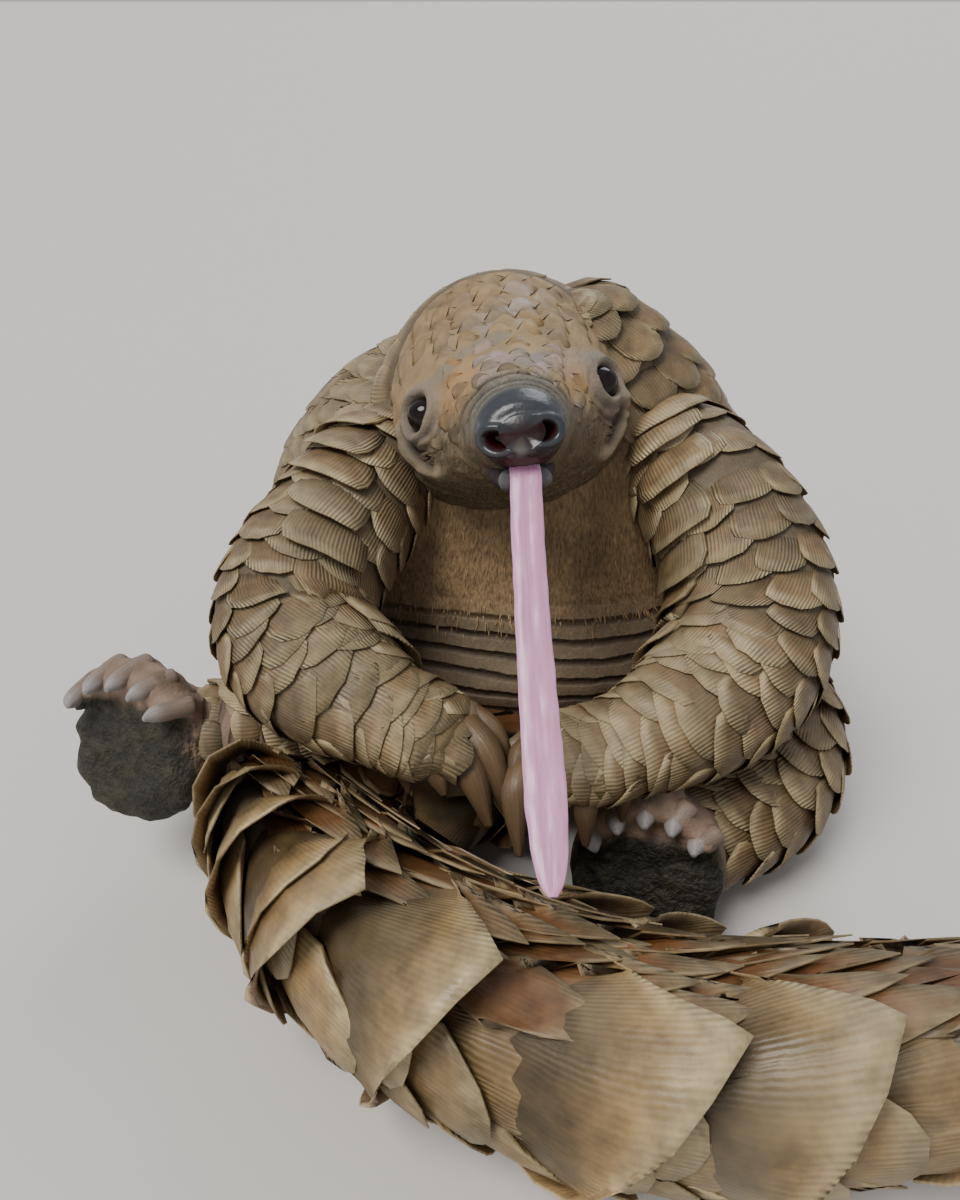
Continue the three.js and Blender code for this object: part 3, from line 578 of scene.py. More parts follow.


# Scales
# Each kind has its length, half width, thickness, the height of its tip over the skin and the depth
# of its root under it, all in mm. As shares come the width of the root, how far the tip is drawn
# back at its sides and the height of the crown over the length; then the power of that drawing back,
# the strength of the ridges and how much further the painted shade at the root reaches. A pair is
# for the two sides of a lopsided scale.
SIZES = {
    "back": dict(long=24, half=9.4, thick=0.8, lift=1.7, sink=2.4, root=0.62, tip=0.2),
    "nape": dict(long=18, half=8.4, thick=0.8, lift=1.5, sink=2.2, root=0.62, tip=0.2),
    "poll": dict(
        long=17, half=7.6, thick=0.5, lift=0.7, sink=1.6, root=0.6, tip=0.24, crown=0.012, ridged=0.5),
    "crown": dict(
        long=15, half=6.2, thick=0.4, lift=0.3, sink=1.1, root=0.5, tip=0.4, crown=0.008, ridged=0),
    "arm": dict(long=21, half=9, thick=0.6, lift=1.2, sink=2.2, root=0.62, tip=0.16, crown=0.018),
    "fore": dict(
        long=25, half=11.5, thick=0.7, lift=1.3, sink=2.2, root=0.62, tip=0.2, crown=0.018, ridged=0.6),
    "stack": dict(long=21, half=13, thick=1.0, lift=3.6, sink=2.4, root=0.76, tip=0.1),
    "hand": dict(long=16, half=8.5, thick=0.7, lift=1.3, sink=1.8, root=0.6, tip=0.22, ridged=0.5),
    "leg": dict(long=24, half=9, thick=0.8, lift=2.2, sink=2.2, root=0.6, tip=0.24),
    "ankle": dict(
        long=13, half=6.2, thick=0.6, lift=1.0, sink=1.6, root=0.6, tip=0.2, crown=0.02, ridged=0.3),
    "dorsal": dict(long=42, half=14, thick=1.0, lift=4.0, sink=3.0, root=0.6, tip=0.28, ridged=0.6),
    "ventral": dict(
        long=58, half=9, thick=0.9, lift=5.0, sink=3, root=0.5, tip=0.5, point=1.4, ridged=0.3),
}
FOLDED = dict(long=50, thick=1.3, lift=6, sink=4, root=0.86, point=1.0, ridged=0.4, shade=0.25)
SIZES["outer"] = dict(FOLDED, half=(42, 20), tip=(0.66, 0.5))
SIZES["inner"] = dict(FOLDED, half=(20, 42), tip=(0.5, 0.66))
ROUND_TIP = 2.4
LOW_CROWN = 0.028
RIDGE_PITCH = 1.15
WARMER = np.array([1.06, 0.97, 0.84])
# Underside of a scale: browner, and darker as painted shade under the scale.
UNDERSIDE = np.array([0.62, 0.5, 0.4])
FLOOR_GAP = 0.15
# Beds of scales: how many rows, the spacing round the form in mm, first and last u, low and high v,
# and the seed.
BEDS = {
    "back": (27, 14, 0.985, 0.16, -0.1, 0.6, 41),
    "nape": (3, 12, 0.45, 0.92, 0.1, 0.4, 47),
    "poll": (4, 10.5, 0.02, 0.4, 0.05, 0.45, 52),
    "crown": (12, 8.2, 0.45, 0.99, 0.01, 0.49, 45),
    "dorsal": (26, 23, 0.04, 0.96, 0.54, 0.96, 61),
    "ventral": (27, 12, 0.03, 0.93, 0.11, 0.39, 63),
}
NECK_SIDES = [(7, 12, 0.0, 0.92, -0.16, 0.06, 43), (7, 12, 0.0, 0.92, 0.44, 0.64, 51)]
SHOULDERS = [(8, 12, 0.98, 0.74, 0.6, 0.66, 49), (8, 12, 0.98, 0.74, 0.84, 0.9, 50)]
# The upright stack of scales down each upper arm: u and v of its roots, and the arm's scaled turn.
ARM_STACKS = {
    "right": (
        [0.04, 0.08, 0.12, 0.16, 0.2, 0.24, 0.29, 0.34, 0.4],
        [0.2, 0.24, 0.27, 0.31, 0.34, 0.37, 0.41, 0.45, 0.48]),
    "left": (
        [0.0, 0.04, 0.08, 0.12, 0.16, 0.2, 0.25, 0.3, 0.36],
        [0.2, 0.15, 0.11, 0.06, 0.03, 0.02, 0.02, 0.03, 0.05]),
}
ARM_TURNS = {"right": (-0.2, 0.6), "left": (-0.1, 0.7)}
# The scaled turn of each leg, and where its large scales end along it.
LEG_TURNS = {"right": (0.1, 0.5, 0.5), "left": (-0.1, 0.62, 0.66)}
# Tips of the folded scales along both margins of the tail.
TAIL_TIPS = np.array([
    0.1, 0.14, 0.18, 0.22, 0.26, 0.295, 0.33, 0.365, 0.4, 0.44, 0.485, 0.56, 0.66, 0.76, 0.835, 0.895,
    0.94, 0.975,
])


def rows_of(form, rows, spacing, first, last, low, high, seed):
    """Staggered places on a form: rows from first to last along it, a scale every spacing round,
    each second row half a step on and every place a little off."""
    random = np.random.default_rng(seed)
    places = []
    for i, u in enumerate(np.linspace(first, last, rows)):
        _, dv, _ = form.slopes(u, np.linspace(low, high, 9))
        arc = np.linalg.norm(dv, axis=-1).mean() * (high - low)
        count = max(1, round(arc / spacing))
        v = low + (high - low) * (np.arange(count + 1) + 0.5 * (i % 2)) / count
        v = v[v <= high + 1e-6]
        u_row = u + random.normal(0, 0.0012, len(v))
        places.append(np.stack([u_row, v + random.normal(0, 0.0015, len(v))], -1))
    return np.concatenate(places)


def skin_measures(form, places, long, s, sign):
    """How many mm one unit of u is along each scale, by chords of the scale's own length, and how
    many mm one unit of v is beside its middle line, by the arcs on the one and the other side."""
    u0, v0 = places[:, 0], places[:, 1]
    least = 0.3 * form.long
    du, _, _ = form.slopes(u0, v0)
    per_u = np.maximum(np.linalg.norm(du, axis=-1), least)
    for _ in range(3):
        reach = long / per_u
        chord = np.linalg.norm(form.at(u0 + sign * reach, v0) - form.at(u0, v0), axis=-1)
        per_u = np.maximum(chord / reach, least)
    line = u0[:, None] + sign * (long / per_u)[:, None] * s
    step = np.linspace(0, 0.16, 5)
    arcs = []
    for way in (1, -1):
        arc = form.at(line[:, :, None], v0[:, None, None] + way * step)
        arcs.append(np.linalg.norm(np.diff(arc, axis=2), axis=-1).sum(2) / step[-1])
    return per_u, arcs


def sided(c, value):
    """A size that may differ on the two sides of a scale."""
    first, second = value if isinstance(value, tuple) else (value, value)
    return np.where(c < 0, first, second)


def vanes(form, places, size, sign, seed, grid=(5, 7), fold=0.0, wave=0.0, scale=None, broad=None):
    """Scales laid on a form.

    Along a scale s runs from 0 at its sunk root to 1 at its tip and across it c runs from -1 to 1.
    Its half width grows from the root by a smooth step and its tip is drawn back by a power of c, so
    the end is a rounded fan. Its height over the skin goes from -sink to lift with s to the power
    0.8, plus a crown that falls off with c squared, a crease where it is folded and a wave along its
    edges. The top and the underside lie half the thickness out and in from there, closer at the tip.
    """
    random = np.random.default_rng(seed)
    count = len(places)
    rows, columns = grid
    s = np.linspace(0, 1, rows)[None, :, None]
    c = np.linspace(-1, 1, columns)[None, None, :]
    scale = np.ones(count) if scale is None else scale
    broad = scale if broad is None else broad
    vary = (1 + random.uniform(-0.1, 0.1, count)) * scale
    long = size["long"] * vary
    half = ((1 + random.uniform(-0.08, 0.08, count)) * broad)[:, None, None] * sided(c, size["half"])
    ragged = random.uniform(-1, 1, (count, 1, columns)) * 0.016
    wide = size["root"] + (1 - size["root"]) * smooth(0, 0.62, s)
    wide = wide * (1 - 0.1 * smooth(0.75, 1, s))
    cut = sided(c, size["tip"]) * np.abs(c) ** size.get("point", ROUND_TIP)
    ahead = long[:, None, None] * s * (1 - cut * s**2 + ragged * s**3)
    across = half * wide * c
    angle = random.normal(0, 0.06, count)[:, None, None]
    a = ahead * np.cos(angle) - across * np.sin(angle)
    b = ahead * np.sin(angle) + across * np.cos(angle)
    per_u, arcs = skin_measures(form, places, long, s[:, :, 0], sign)
    per_v = np.maximum(np.where(b > 0, arcs[0][..., None], arcs[1][..., None]), 30)
    u = places[:, 0, None, None] + sign * a / per_u[:, None, None]
    v = places[:, 1, None, None] + b / per_v
    bend = (random.uniform(0.8, 1.25, count) * scale)[:, None, None]
    high = (size["sink"] + size["lift"] * bend) * s**0.8 - size["sink"]
    high = high + size["long"] * size.get("crown", LOW_CROWN) * (1 - c**2) * smooth(0, 0.5, s)
    high = high + fold * (1 - np.abs(c)) ** 1.2 * smooth(0, 0.7, s) * (1 + 0.7 * s**4)
    phase = random.uniform(0, TURN, count)[:, None, None]
    high = high + wave * np.sin(s * 9 + phase + c) * np.abs(c) * smooth(0.2, 0.8, s)
    high, u, v = np.broadcast_arrays(high, u, v)
    _, _, out = form.slopes(u, v)
    middle = form.at(u, v)
    wall = size["thick"] * (1 - 0.55 * smooth(0.6, 1, s)) * 0.5
    top = middle + out * (high + wall)[..., None]
    low = middle + out * (high - wall)[..., None]
    points = np.concatenate([top.reshape(count, -1, 3), low.reshape(count, -1, 3)], 1)

    def on_both(values):
        """The same values for the top and the underside."""
        return np.tile(np.broadcast_to(values, high.shape).reshape(count, -1), (1, 2))

    layer = np.zeros(points.shape)
    layer[..., 0] = on_both(c * TURN * half / RIDGE_PITCH)
    layer[..., 1] = on_both(s)
    layer[..., 2] = (size.get("ridged", 1) * (0.6 + 0.4 * random.uniform(0, 1, count)))[:, None]
    return dict(
        points=points, layer=layer, cross=on_both(c), under=np.repeat([0.0, 1.0], rows * columns),
        places=places, shade=size.get("shade", 0), faces=vane_faces(rows, columns, sign))


def vane_faces(rows, columns, sign):
    """Quads of one scale: the rim, the underside turned over and last the top, which is seen most.
    With them comes which are shaded flat, those of the rim."""
    i, j = np.meshgrid(np.arange(rows - 1), np.arange(columns - 1), indexing="ij")
    a = (i * columns + j).ravel()
    top = np.stack([a, a + columns, a + columns + 1, a + 1], -1)
    n = rows * columns
    low = top[:, ::-1] + n
    left = np.arange(rows - 1) * columns
    right = left + columns - 1
    first = np.arange(columns - 1)
    last = first + (rows - 1) * columns
    rim = np.concatenate([
        np.stack([left, left + n, left + columns + n, left + columns], -1),
        np.stack([right, right + columns, right + columns + n, right + n], -1),
        np.stack([first, first + 1, first + 1 + n, first + n], -1),
        np.stack([last, last + n, last + 1 + n, last + 1], -1),
    ])
    quads = np.concatenate([rim, low, top])
    flat = np.arange(len(quads)) < len(rim)
    return (quads[:, ::-1] if sign < 0 else quads), flat


def scale_tones(scales, tint, rim, variety, seed):
    """Colours of the points: the tint, warmer on some scales and lighter on others, darker toward the
    root as painted shade where the scale before lies over it, the rim's colour at the tip and the
    edges, and browner underneath, where it is also darker as painted shade."""
    random = np.random.default_rng(seed)
    points, s, shade = scales["points"], scales["layer"][..., 1], scales["shade"]
    value = (1 + random.uniform(-0.2, 0.2, len(points)) * variety)[:, None, None]
    warm = random.uniform(0, 1, (len(points), 1))
    tone = blend(spread(tint, points), spread(tint * WARMER, points), warm)
    # Painted shade: each scale darkens toward its root, where the scale before lies over it; a kind's
    # shade moves this further out.
    tone = blend(tone, tone * 0.25, smooth(0.62 + shade, 0.2 + shade, s))
    edge = smooth(0.86, 1, np.abs(scales["cross"])) * smooth(0.4, 0.8, s)
    tone = blend(tone, spread(rim, points), np.maximum(smooth(0.8, 1, s), edge) * 0.75)
    # Painted shade: the underside is made darker as well as browner.
    tone = blend(tone, tone * UNDERSIDE, scales["under"] * 0.8)
    return (tone * value).reshape(-1, 3)


def scale_map(scales, band, bands):
    """A cell of OFBake for each scale. The cells follow the order of the roots on the form. The top
    is on the left of a cell and the underside on the right."""
    u0, v0 = scales["places"][:, 0], np.mod(scales["places"][:, 1], 1.0)
    count = len(u0)
    rank = np.empty(count)
    rank[np.argsort(v0 + np.round(u0 * 200) * 10)] = np.arange(count)
    across = int(np.ceil(np.sqrt(count * 2 * bands)))
    down = np.ceil(count / across)
    wide, tall = 1 / across, 1 / bands / down
    left = np.mod(rank, across) * wide
    foot = (band + np.floor(rank / across) / down) / bands
    x = left[:, None] + wide * (0.04 + scales["under"] * 0.5 + (scales["cross"] + 1) / 2 * 0.42)
    y = foot[:, None] + tall * (0.04 + scales["layer"][..., 1] * 0.9)
    return np.stack([x, y], -1).reshape(-1, 2)


def scale_piece(name, groups, material, variety=1.0):
    """One piece of several groups of scales, each with its tint and its rim's colour."""
    points, polygons, flats, tones, layers, maps = [], [], [], [], [], []
    start = 0
    for band, (scales, tint, rim) in enumerate(groups):
        quads, flat = scales["faces"]
        count, each, _ = scales["points"].shape
        firsts = start + np.arange(count) * each
        polygons.append((quads[None] + firsts[:, None, None]).reshape(-1, 4))
        flats.append(np.tile(flat, count))
        tones.append(scale_tones(scales, tint, rim, variety, band + 11))
        layers.append(scales["layer"].reshape(-1, 3))
        maps.append(scale_map(scales, band, len(groups)))
        points.append(scales["points"].reshape(-1, 3))
        start += count * each
    points = np.concatenate(points)
    points[:, 2] = np.maximum(points[:, 2], FLOOR_GAP)
    made = mesh_object(
        name, points, np.concatenate(polygons).tolist(), material, np.concatenate(tones),
        {"vane": np.concatenate(layers)}, np.concatenate(maps), np.concatenate(flats),
    )
    declare(made, "scale")


# Settings
class PangolinColours(bpy.types.PropertyGroup):
    """Colours that a maker would change."""

    def shade(name, value):
        """A colour setting whose start value is given as 0 to 255 of a screen."""
        return bpy.props.FloatVectorProperty(
            name=name, description=f"Colour of the {name.lower()}", subtype="COLOR", size=3, min=0, max=1,
            default=tuple(float(x) for x in srgb(*value)),
        )

    arm: shade("Arm scales", (118, 102, 78))
    back: shade("Back scales", (122, 104, 77))
    tail: shade("Tail scales", (138, 118, 84))
    tail_under: shade("Scales under the tail", (104, 74, 46))
    rim: shade("Rims of scales", (186, 172, 138))
    chest: shade("Chest", (142, 117, 84))
    belly: shade("Belly", (120, 106, 86))
    face: shade("Face", (104, 92, 72))
    brow: shade("Forehead", (146, 124, 92))
    nose: shade("Nose", (54, 58, 63))
    ankle: shade("Ankle", (136, 114, 99))
    sole: shade("Sole", (42, 40, 31))
    claws: shade("Claws", (106, 86, 62))
    tongue: shade("Tongue", (214, 158, 190))
    dust_colour: shade("Dust", (168, 152, 122))
    dust: bpy.props.FloatProperty(
        name="Dust", description="How much dust lies on the scales", subtype="FACTOR",
        default=0.35, min=0, max=1)


class PangolinSizes(bpy.types.PropertyGroup):
    """Sizes that a maker would change, in metres."""

    skin_cell: bpy.props.FloatProperty(
        name="Skin cell", description="Size of the cells the body's skin is fused with", unit="LENGTH",
        default=0.0021, min=0.001, max=0.01)
    hair: bpy.props.FloatProperty(
        name="Hair length", description="Length of the short hair tufts", unit="LENGTH", default=0.0045,
        min=0.001, max=0.02)
    eye: bpy.props.FloatProperty(
        name="Eye radius", description="Radius of an eyeball", unit="LENGTH", default=EYE_RADIUS * MM,
        min=0.002, max=0.01)


# Skin
FLESH = [
    "torso", "neck", "tail_1", "tail_2", "tail_3", "tail_4",
    "upper_arm_right", "forearm_right", "hand_right", "upper_arm_left", "forearm_left", "hand_left",
    "thigh_right", "shank_right", "foot_right", "thigh_left", "shank_left", "foot_left",
]
BODY_FORMS = [
    "torso", "neck", "tail", "arm_right", "arm_left", "leg_right", "leg_left", "foot_right", "foot_left",
]
# Forms longer than this, in mm, have the long grid of rings and sides.
LONG_FORM = 60
LONG_GRID, SHORT_GRID = (60, 64), (14, 28)
TORSO_GRID = (60, 180)
EASING = 0.5
EASING_ROUNDS = 6


def toes(foot):
    """Toes on a foot's rim: a short fat finger at each nail, from inside the foot to past its end."""
    made = []
    _, ahead, _, _ = foot.axes(1.0)
    for degrees in NAIL_ANGLES:
        v = degrees / 360
        root = foot.off(0.4, v, -3.6)
        knee = foot.off(0.75, v, 1.2)
        tip = foot.off(0.98, v, 1.4) + ahead * 4.5
        rows = [[*root, 4.6, 4.6, 4.6, 0], [*knee, 4.2, 4.2, 4.2, 0], [*tip, 3.6, 3.4, 3.4, 0]]
        made.append(Form(rows, Z))
    return made


def fingers(claws, hand_end):
    """Fingers under the claws: a stub from near the hand's end to a little past each claw's root."""
    made = []
    for root, knee, _, half in claws:
        root, knee = np.array(root, float), np.array(knee, float)
        start = hand_end + (root - hand_end) * 0.2
        rows = [
            [*start, half * 1.15, half * 1.1, half * 1.1, 0],
            [*root, half * 1.16, half, half, 0],
            [*(root + (knee - root) * 0.35), half * 0.98, half * 0.8, half * 0.8, 0],
        ]
        made.append(Form(rows, Z))
    return made


def body_tubes():
    """Closed tubes of all the flesh, the long ones with more rings and sides."""
    forms = [FORMS[name] for name in BODY_FORMS]
    for side in SIDES:
        forms += toes(FORMS["foot_" + side])
    for side in SIDES:
        forms += fingers(CLAWS[side], np.array(HAND_ENDS[side], float))
    return [form_tube(form, *(LONG_GRID if form.long > LONG_FORM else SHORT_GRID))[:2] for form in forms]


def fused(parts, cell):
    """One closed skin of overlapping parts: fused on a grid of cells, then eased."""
    points, polygons = join_parts(parts)
    mesh = bpy.data.meshes.new("fusing")
    mesh.from_pydata((points * MM).tolist(), [], polygons)
    holder = bpy.data.objects.new("fusing", mesh)
    bpy.context.scene.collection.objects.link(holder)
    remesh = holder.modifiers.new("fuse", "REMESH")
    remesh.mode = "VOXEL"
    remesh.voxel_size = cell
    remesh.adaptivity = 0
    ease = holder.modifiers.new("ease", "SMOOTH")
    ease.factor = EASING
    ease.iterations = EASING_ROUNDS
    result = holder.evaluated_get(bpy.context.evaluated_depsgraph_get()).to_mesh()
    count = len(result.vertices)
    out = np.zeros(count * 3)
    result.vertices.foreach_get("co", out)
    normals = np.zeros(count * 3)
    result.vertices.foreach_get("normal", normals)
    quads = [list(p.vertices) for p in result.polygons]
    holder.to_mesh_clear()
    bpy.data.objects.remove(holder)
    bpy.data.meshes.remove(mesh)
    return out.reshape(-1, 3) / MM, normals.reshape(-1, 3), quads


def near_form(points, form, rings=60, sides=48):
    """Distance of points to the nearest of a form's sampled places, and the u of that place. For
    each point that is the sample whose squared length less twice its dot product is least."""
    u, v = np.meshgrid(np.linspace(0, 1, rings), np.arange(sides) / sides, indexing="ij")
    sample = form.at(u, v).reshape(-1, 3)
    squares = (sample**2).sum(1)
    blocks = np.array_split(points, len(points) // 1000 + 1)
    nearest = np.concatenate([np.argmin(squares - 2 * block @ sample.T, axis=1) for block in blocks])
    return np.linalg.norm(points - sample[nearest], axis=1), u.ravel()[nearest]


def foot_masks(points, form):
    """Where the skin is a foot's, and where it is the sole: the front of a disc round the foot's
    end, up to a wavy edge under the toes."""
    gap, _ = near_form(points, form)
    _, ahead, _, upward = form.axes(1.0)
    reach = points - form.rows[-1, :3]
    deep, high = reach @ ahead, reach @ upward
    disc = np.linalg.norm(reach - deep[:, None] * ahead, axis=1)
    foot = np.maximum(smooth(6, 3, gap), smooth(-9, -5, deep) * smooth(28, 24, disc))
    edge = 9 + 3 * ripple(points, 16, 12)
    sole = smooth(-7, -3, deep + 0.25 * (edge - high)) * smooth(31, 27, disc) * smooth(17, 13, high)
    return foot, sole


class PANGOLIN_OT_skin(bpy.types.Operator):
    """One skin over torso, neck, limbs, feet and tail, with belly folds and ankle wrinkles"""

    bl_idname = "pangolin.skin"
    bl_label = "Body skin"

    def execute(self, context):
        look, sizes = context.scene.pangolin_colours, context.scene.pangolin_sizes
        points, normals, quads = fused(body_tubes(), sizes.skin_cell)
        # Each patch of skin is a product of steps of place and of distance to a form. The folds are
        # sines of the height on the belly and of x round the ankle, both bent by noise.
        x, y, z = points.T
        front = smooth(-20, -60, y) * smooth(0.1, -0.35, normals[:, 1])
        torso_gap, _ = near_form(points, FORMS["torso"], *TORSO_GRID)
        chest = smooth(7, 2, torso_gap) * front
        belly = chest * smooth(80, 68, z)
        leg_gap, leg_u = near_form(points, FORMS["leg_right"])
        ankle = smooth(5, 1, leg_gap) * smooth(0.45, 0.6, leg_u) * smooth(1.0, 0.9, leg_u)
        belly_phase = z * TURN / BELLY_FOLD_PITCH + 1.6 * np.sin(x * 0.05)
        belly_phase += 1.5 * ripple(points * [0.5, 1, 1], 45, 3)
        ankle_phase = x * TURN / ANKLE_FOLD_PITCH + 2 * ripple(points, 22, 4)
        # The crease layer's phase and depth also drive the painted shade that the skin finish puts in the
        # grooves.
        crease = np.zeros(points.shape)
        crease[:, 0] = np.where(belly > ankle, belly_phase, ankle_phase)
        crease[:, 1] = np.maximum(belly, ankle * 0.6)
        tone = coated(spread(srgb(96, 84, 66), points), (look.chest, chest), (look.belly, belly))
        kind = np.zeros(points.shape)
        kind[:, 0] = 0.35 + 0.65 * chest * (1 - belly)
        hands = smooth(-112, -118, y) * smooth(60, 64, z) * smooth(90, 84, z)
        for side in SIDES:
            foot, sole = foot_masks(points, FORMS["foot_" + side])
            tone = coated(tone, (look.ankle, foot), (look.sole, sole))
            kind[:, 0] *= 1 - foot
            kind[:, 2] = np.maximum(kind[:, 2], sole)
            rough = 1.1 * ripple(points, 15, 77) + 0.5 * ripple(points, 6, 78)
            points = points + normals * (rough * sole)[:, None]
        tone = coated(tone, (np.array(look.ankle) * 0.8, ankle), (srgb(118, 102, 82), hands))
        kind[:, 0] *= (1 - ankle) * (1 - hands)
        points[:, 2] = np.maximum(points[:, 2], 0)
        made = mesh_object(
            "body_skin", points, quads, skin_finish(), tone, {"kind": kind, "crease": crease})
        declare(made, "skin", *FLESH)
        return {"FINISHED"}


# Head
def gap_to(points, place, stretch):
    """Distance of points to a place, with each axis stretched by its own factor."""
    return np.linalg.norm((points - np.array(place)) * np.array(stretch), axis=1)


def eye_relief(points):
    """Height round both eyes: a wide ring, the lids round an almond hollow, three creases above and
    fine rings of wrinkles. With it come masks of the lids and the creases."""
    head = FORMS["head"]
    high, lids, creases = np.zeros((3, len(points)))
    for (eye_u, eye_v), lean, tall in zip(EYES, EYE_LEANS, EYE_HALF_HEIGHTS):
        du, _, out = head.slopes(eye_u, eye_v)
        across = unit(du)
        upward = unit(np.cross(out, across)) * (1 if out[0] < 0 else -1)
        gap = points - head.at(eye_u, eye_v)
        ex, ey = gap @ across, gap @ upward
        ex, ey = ex * np.cos(lean) - ey * np.sin(lean), ex * np.sin(lean) + ey * np.cos(lean)
        near = smooth(26, 20, np.linalg.norm(gap, axis=1))
        oval = np.sqrt((ex / EYE_HALF_WIDTH) ** 2 + (ey / tall) ** 2)
        far = np.hypot(ex, ey)
        high += near * 1.8 * bump(far - 7.4, 2.6)
        high += near * 0.9 * bump(oval - 1.28, 0.22)
        high -= near * 7.5 * smooth(1.08, 0.8, oval)
        for k, reach in enumerate((8.6, 11.2, 13.6)):
            arc = far - reach - 0.6 * np.sin(ex * 0.5)
            part = near * bump(arc, 0.6) * smooth(-0.5, 0.3, ey / np.maximum(far, 1e-6))
            high -= (0.8 - 0.15 * k) * part
            creases = np.maximum(creases, part * (0.9 - 0.25 * k))
        ring = np.sin(far * TURN / 1.5 + 2.5 * ripple(points, 9, 6))
        high += near * 0.16 * ring * smooth(5, 7, far) * smooth(14, 9, far)
        lids = np.maximum(lids, near * smooth(13, 7, far))
    return high, lids, creases


def nose_relief(base, u, v):
    """Height of the nose: creases over the bridge, a swell behind the pad, nostrils with raised rims
    and the mouth. With it come masks of the creases, the nostrils and the mouth."""
    top = np.sin(v * TURN)
    creases, nostrils = np.zeros((2, len(base)))
    high = bump(u - 0.26, 0.05) * smooth(-0.2, 0.6, top)
    for reach, depth in BRIDGE_CREASES:
        bent = u - reach - 0.02 * np.cos(v * TURN) ** 2 - 0.006 * ripple(base, 12, 5)
        groove = bump(bent, 0.011) * smooth(0.1, 0.6, top)
        high -= depth * 1.3 * groove
        creases = np.maximum(creases, groove)
    for nostril in NOSTRILS:
        far = gap_to(base, nostril, (0.8, 0.7, 1.15))
        high -= 4.5 * smooth(3.2, 1.6, far)
        high += 0.9 * bump(far - 4.0, 1.0)
        nostrils = np.maximum(nostrils, smooth(3.4, 2.4, far))
    mouth_gap = gap_to(base, MOUTH, (0.42, 0.5, 1.3))
    high -= 3.6 * smooth(3.2, 1.0, mouth_gap)
    return high, creases, nostrils, smooth(3.4, 2.0, mouth_gap)


def ear_relief(base):
    """Height of the ears: a ridge and a slit inside it, each a bell round a line on the head. With
    it come masks of both."""
    high, ridges, slits = np.zeros((3, len(base)))
    share = np.linspace(0, 1, 24)
    for ridge, slit in EARS:
        for stops, wide, depth in ((ridge, 3.0, 2.6), (slit, 1.9, -2.2)):
            knots = np.linspace(0, 1, len(stops))
            line_u = np.interp(share, knots, [stop[0] for stop in stops])
            turns = np.unwrap(np.array([stop[1] for stop in stops]) * TURN) / TURN
            line = FORMS["head"].at(line_u, np.interp(share, knots, turns))
            far = np.min(np.linalg.norm(base[:, None] - line[None], axis=-1), axis=1)
            high += depth * bump(far, wide)
            if depth > 0:
                ridges = np.maximum(ridges, bump(far, wide))
            else:
                slits = np.maximum(slits, bump(far, wide * 0.9))
    return high, ridges, slits


def head_tone(look, points, u, v):
    """Markings of the head by place: brown face, tan crown with pink and grey patches above the
    bridge and orange ones beside it."""
    top = np.sin(v * TURN)
    beside = np.abs(points[:, 0] - HEAD_MIDDLE)
    crown = smooth(0.42, 0.56, u + 0.05 * ripple(points, 22, 2)) * smooth(-0.1, 0.3, top)
    pink = smooth(0.0, 0.5, ripple(points, 13, 14)) * smooth(0.9, 0.7, u) * smooth(24, 8, beside)
    grey = smooth(0.25, 0.6, ripple(points, 15, 19)) * smooth(0.95, 0.6, u)
    orange = bump(u - 0.56, 0.08) * smooth(0.2, 0.5, top) * smooth(8, 14, beside)
    tone = coated(
        spread(look.face, points), (look.brow, crown), (srgb(158, 144, 142), pink * crown * 0.8),
        (srgb(112, 112, 108), grey * crown * 0.6), (srgb(164, 124, 76), orange * 0.55))
    return tone, crown


def skull(look):
    """The head from nose to nape: the form's own surface moved out by the heights of its features,
    which fade at the tip of the nose. Its end points take the values of the first and last point."""
    head = FORMS["head"]
    rings, sides = HEAD_GRID
    u, v = np.meshgrid(np.linspace(0, 1, rings) ** 0.9, np.arange(sides) / sides, indexing="ij")
    base = head.at(u, v).reshape(-1, 3)
    out = head.slopes(u, v)[2].reshape(-1, 3)
    u, v = u.ravel(), v.ravel()
    eye_high, lids, eye_creases = eye_relief(base)
    nose_high, nose_creases, nostrils, mouth = nose_relief(base, u, v)
    ear_high, ears, slits = ear_relief(base)
    high = eye_high + nose_high + ear_high
    wrinkled = smooth(-0.1, -0.6, np.sin(v * TURN)) * smooth(0.45, 0.8, u)
    high += 0.35 * np.sin(u * 95 + 2.5 * ripple(base, 20, 9)) * wrinkled
    high += 0.25 * ripple(base, 7, 21) * smooth(0.3, 0.5, u)
    points = base + out * (high * smooth(0.0, 0.02, u))[:, None]
    points = np.concatenate([points, cubic(head.rows, ENDS)[:, :3]])
    creases = np.maximum(eye_creases, nose_creases)
    masks = np.stack([u, v, lids, creases, nostrils, mouth, ears, slits])
    masks = np.concatenate([masks, masks[:, :1], masks[:, -1:]], 1)
    u, v, lids, creases, nostrils, mouth, ears, slits = masks
    top = np.sin(v * TURN)
    nose = smooth(0.36, 0.24, u + 0.04 * np.abs(np.cos(v * TURN)))
    tone, crown = head_tone(look, points, u, v)
    bridge = smooth(0.5, 0.38, u) * smooth(-0.5, 0.2, top)
    tone = coated(tone, (srgb(106, 102, 92), bridge), (look.nose, nose))
    # Painted shade: the creases over the bridge and above the eyes are darkened.
    tone = blend(tone, tone * 0.25, creases)
    lip = smooth(6.8, 4, gap_to(points, LIP, (0.6, 0.5, 1.0)))
    septum = smooth(2.6, 1.0, gap_to(points, SEPTUM, (0.8, 0.4, 0.45)))
    # The ear slits are painted near black as painted shade in the openings; the nostrils and the mouth
    # are dark red, partly flesh and partly painted shade.
    tone = coated(
        tone, (srgb(112, 106, 98), lids * 0.75), (srgb(138, 124, 102), ears * 0.8),
        (srgb(56, 44, 48), lip), (srgb(104, 104, 98), septum * 0.7), (srgb(24, 19, 16), slits * 0.85),
        (srgb(44, 14, 14), nostrils), (srgb(74, 18, 22), mouth))
    kind = np.zeros(points.shape)
    kind[:, 0] = (1 - nose) * (1 - lids) * (1 - crown * 0.8) * (1 - ears)
    kind[:, 1] = np.maximum(nose, mouth * 0.8)
    return (points, tube_faces(rings, sides)), tone, kind


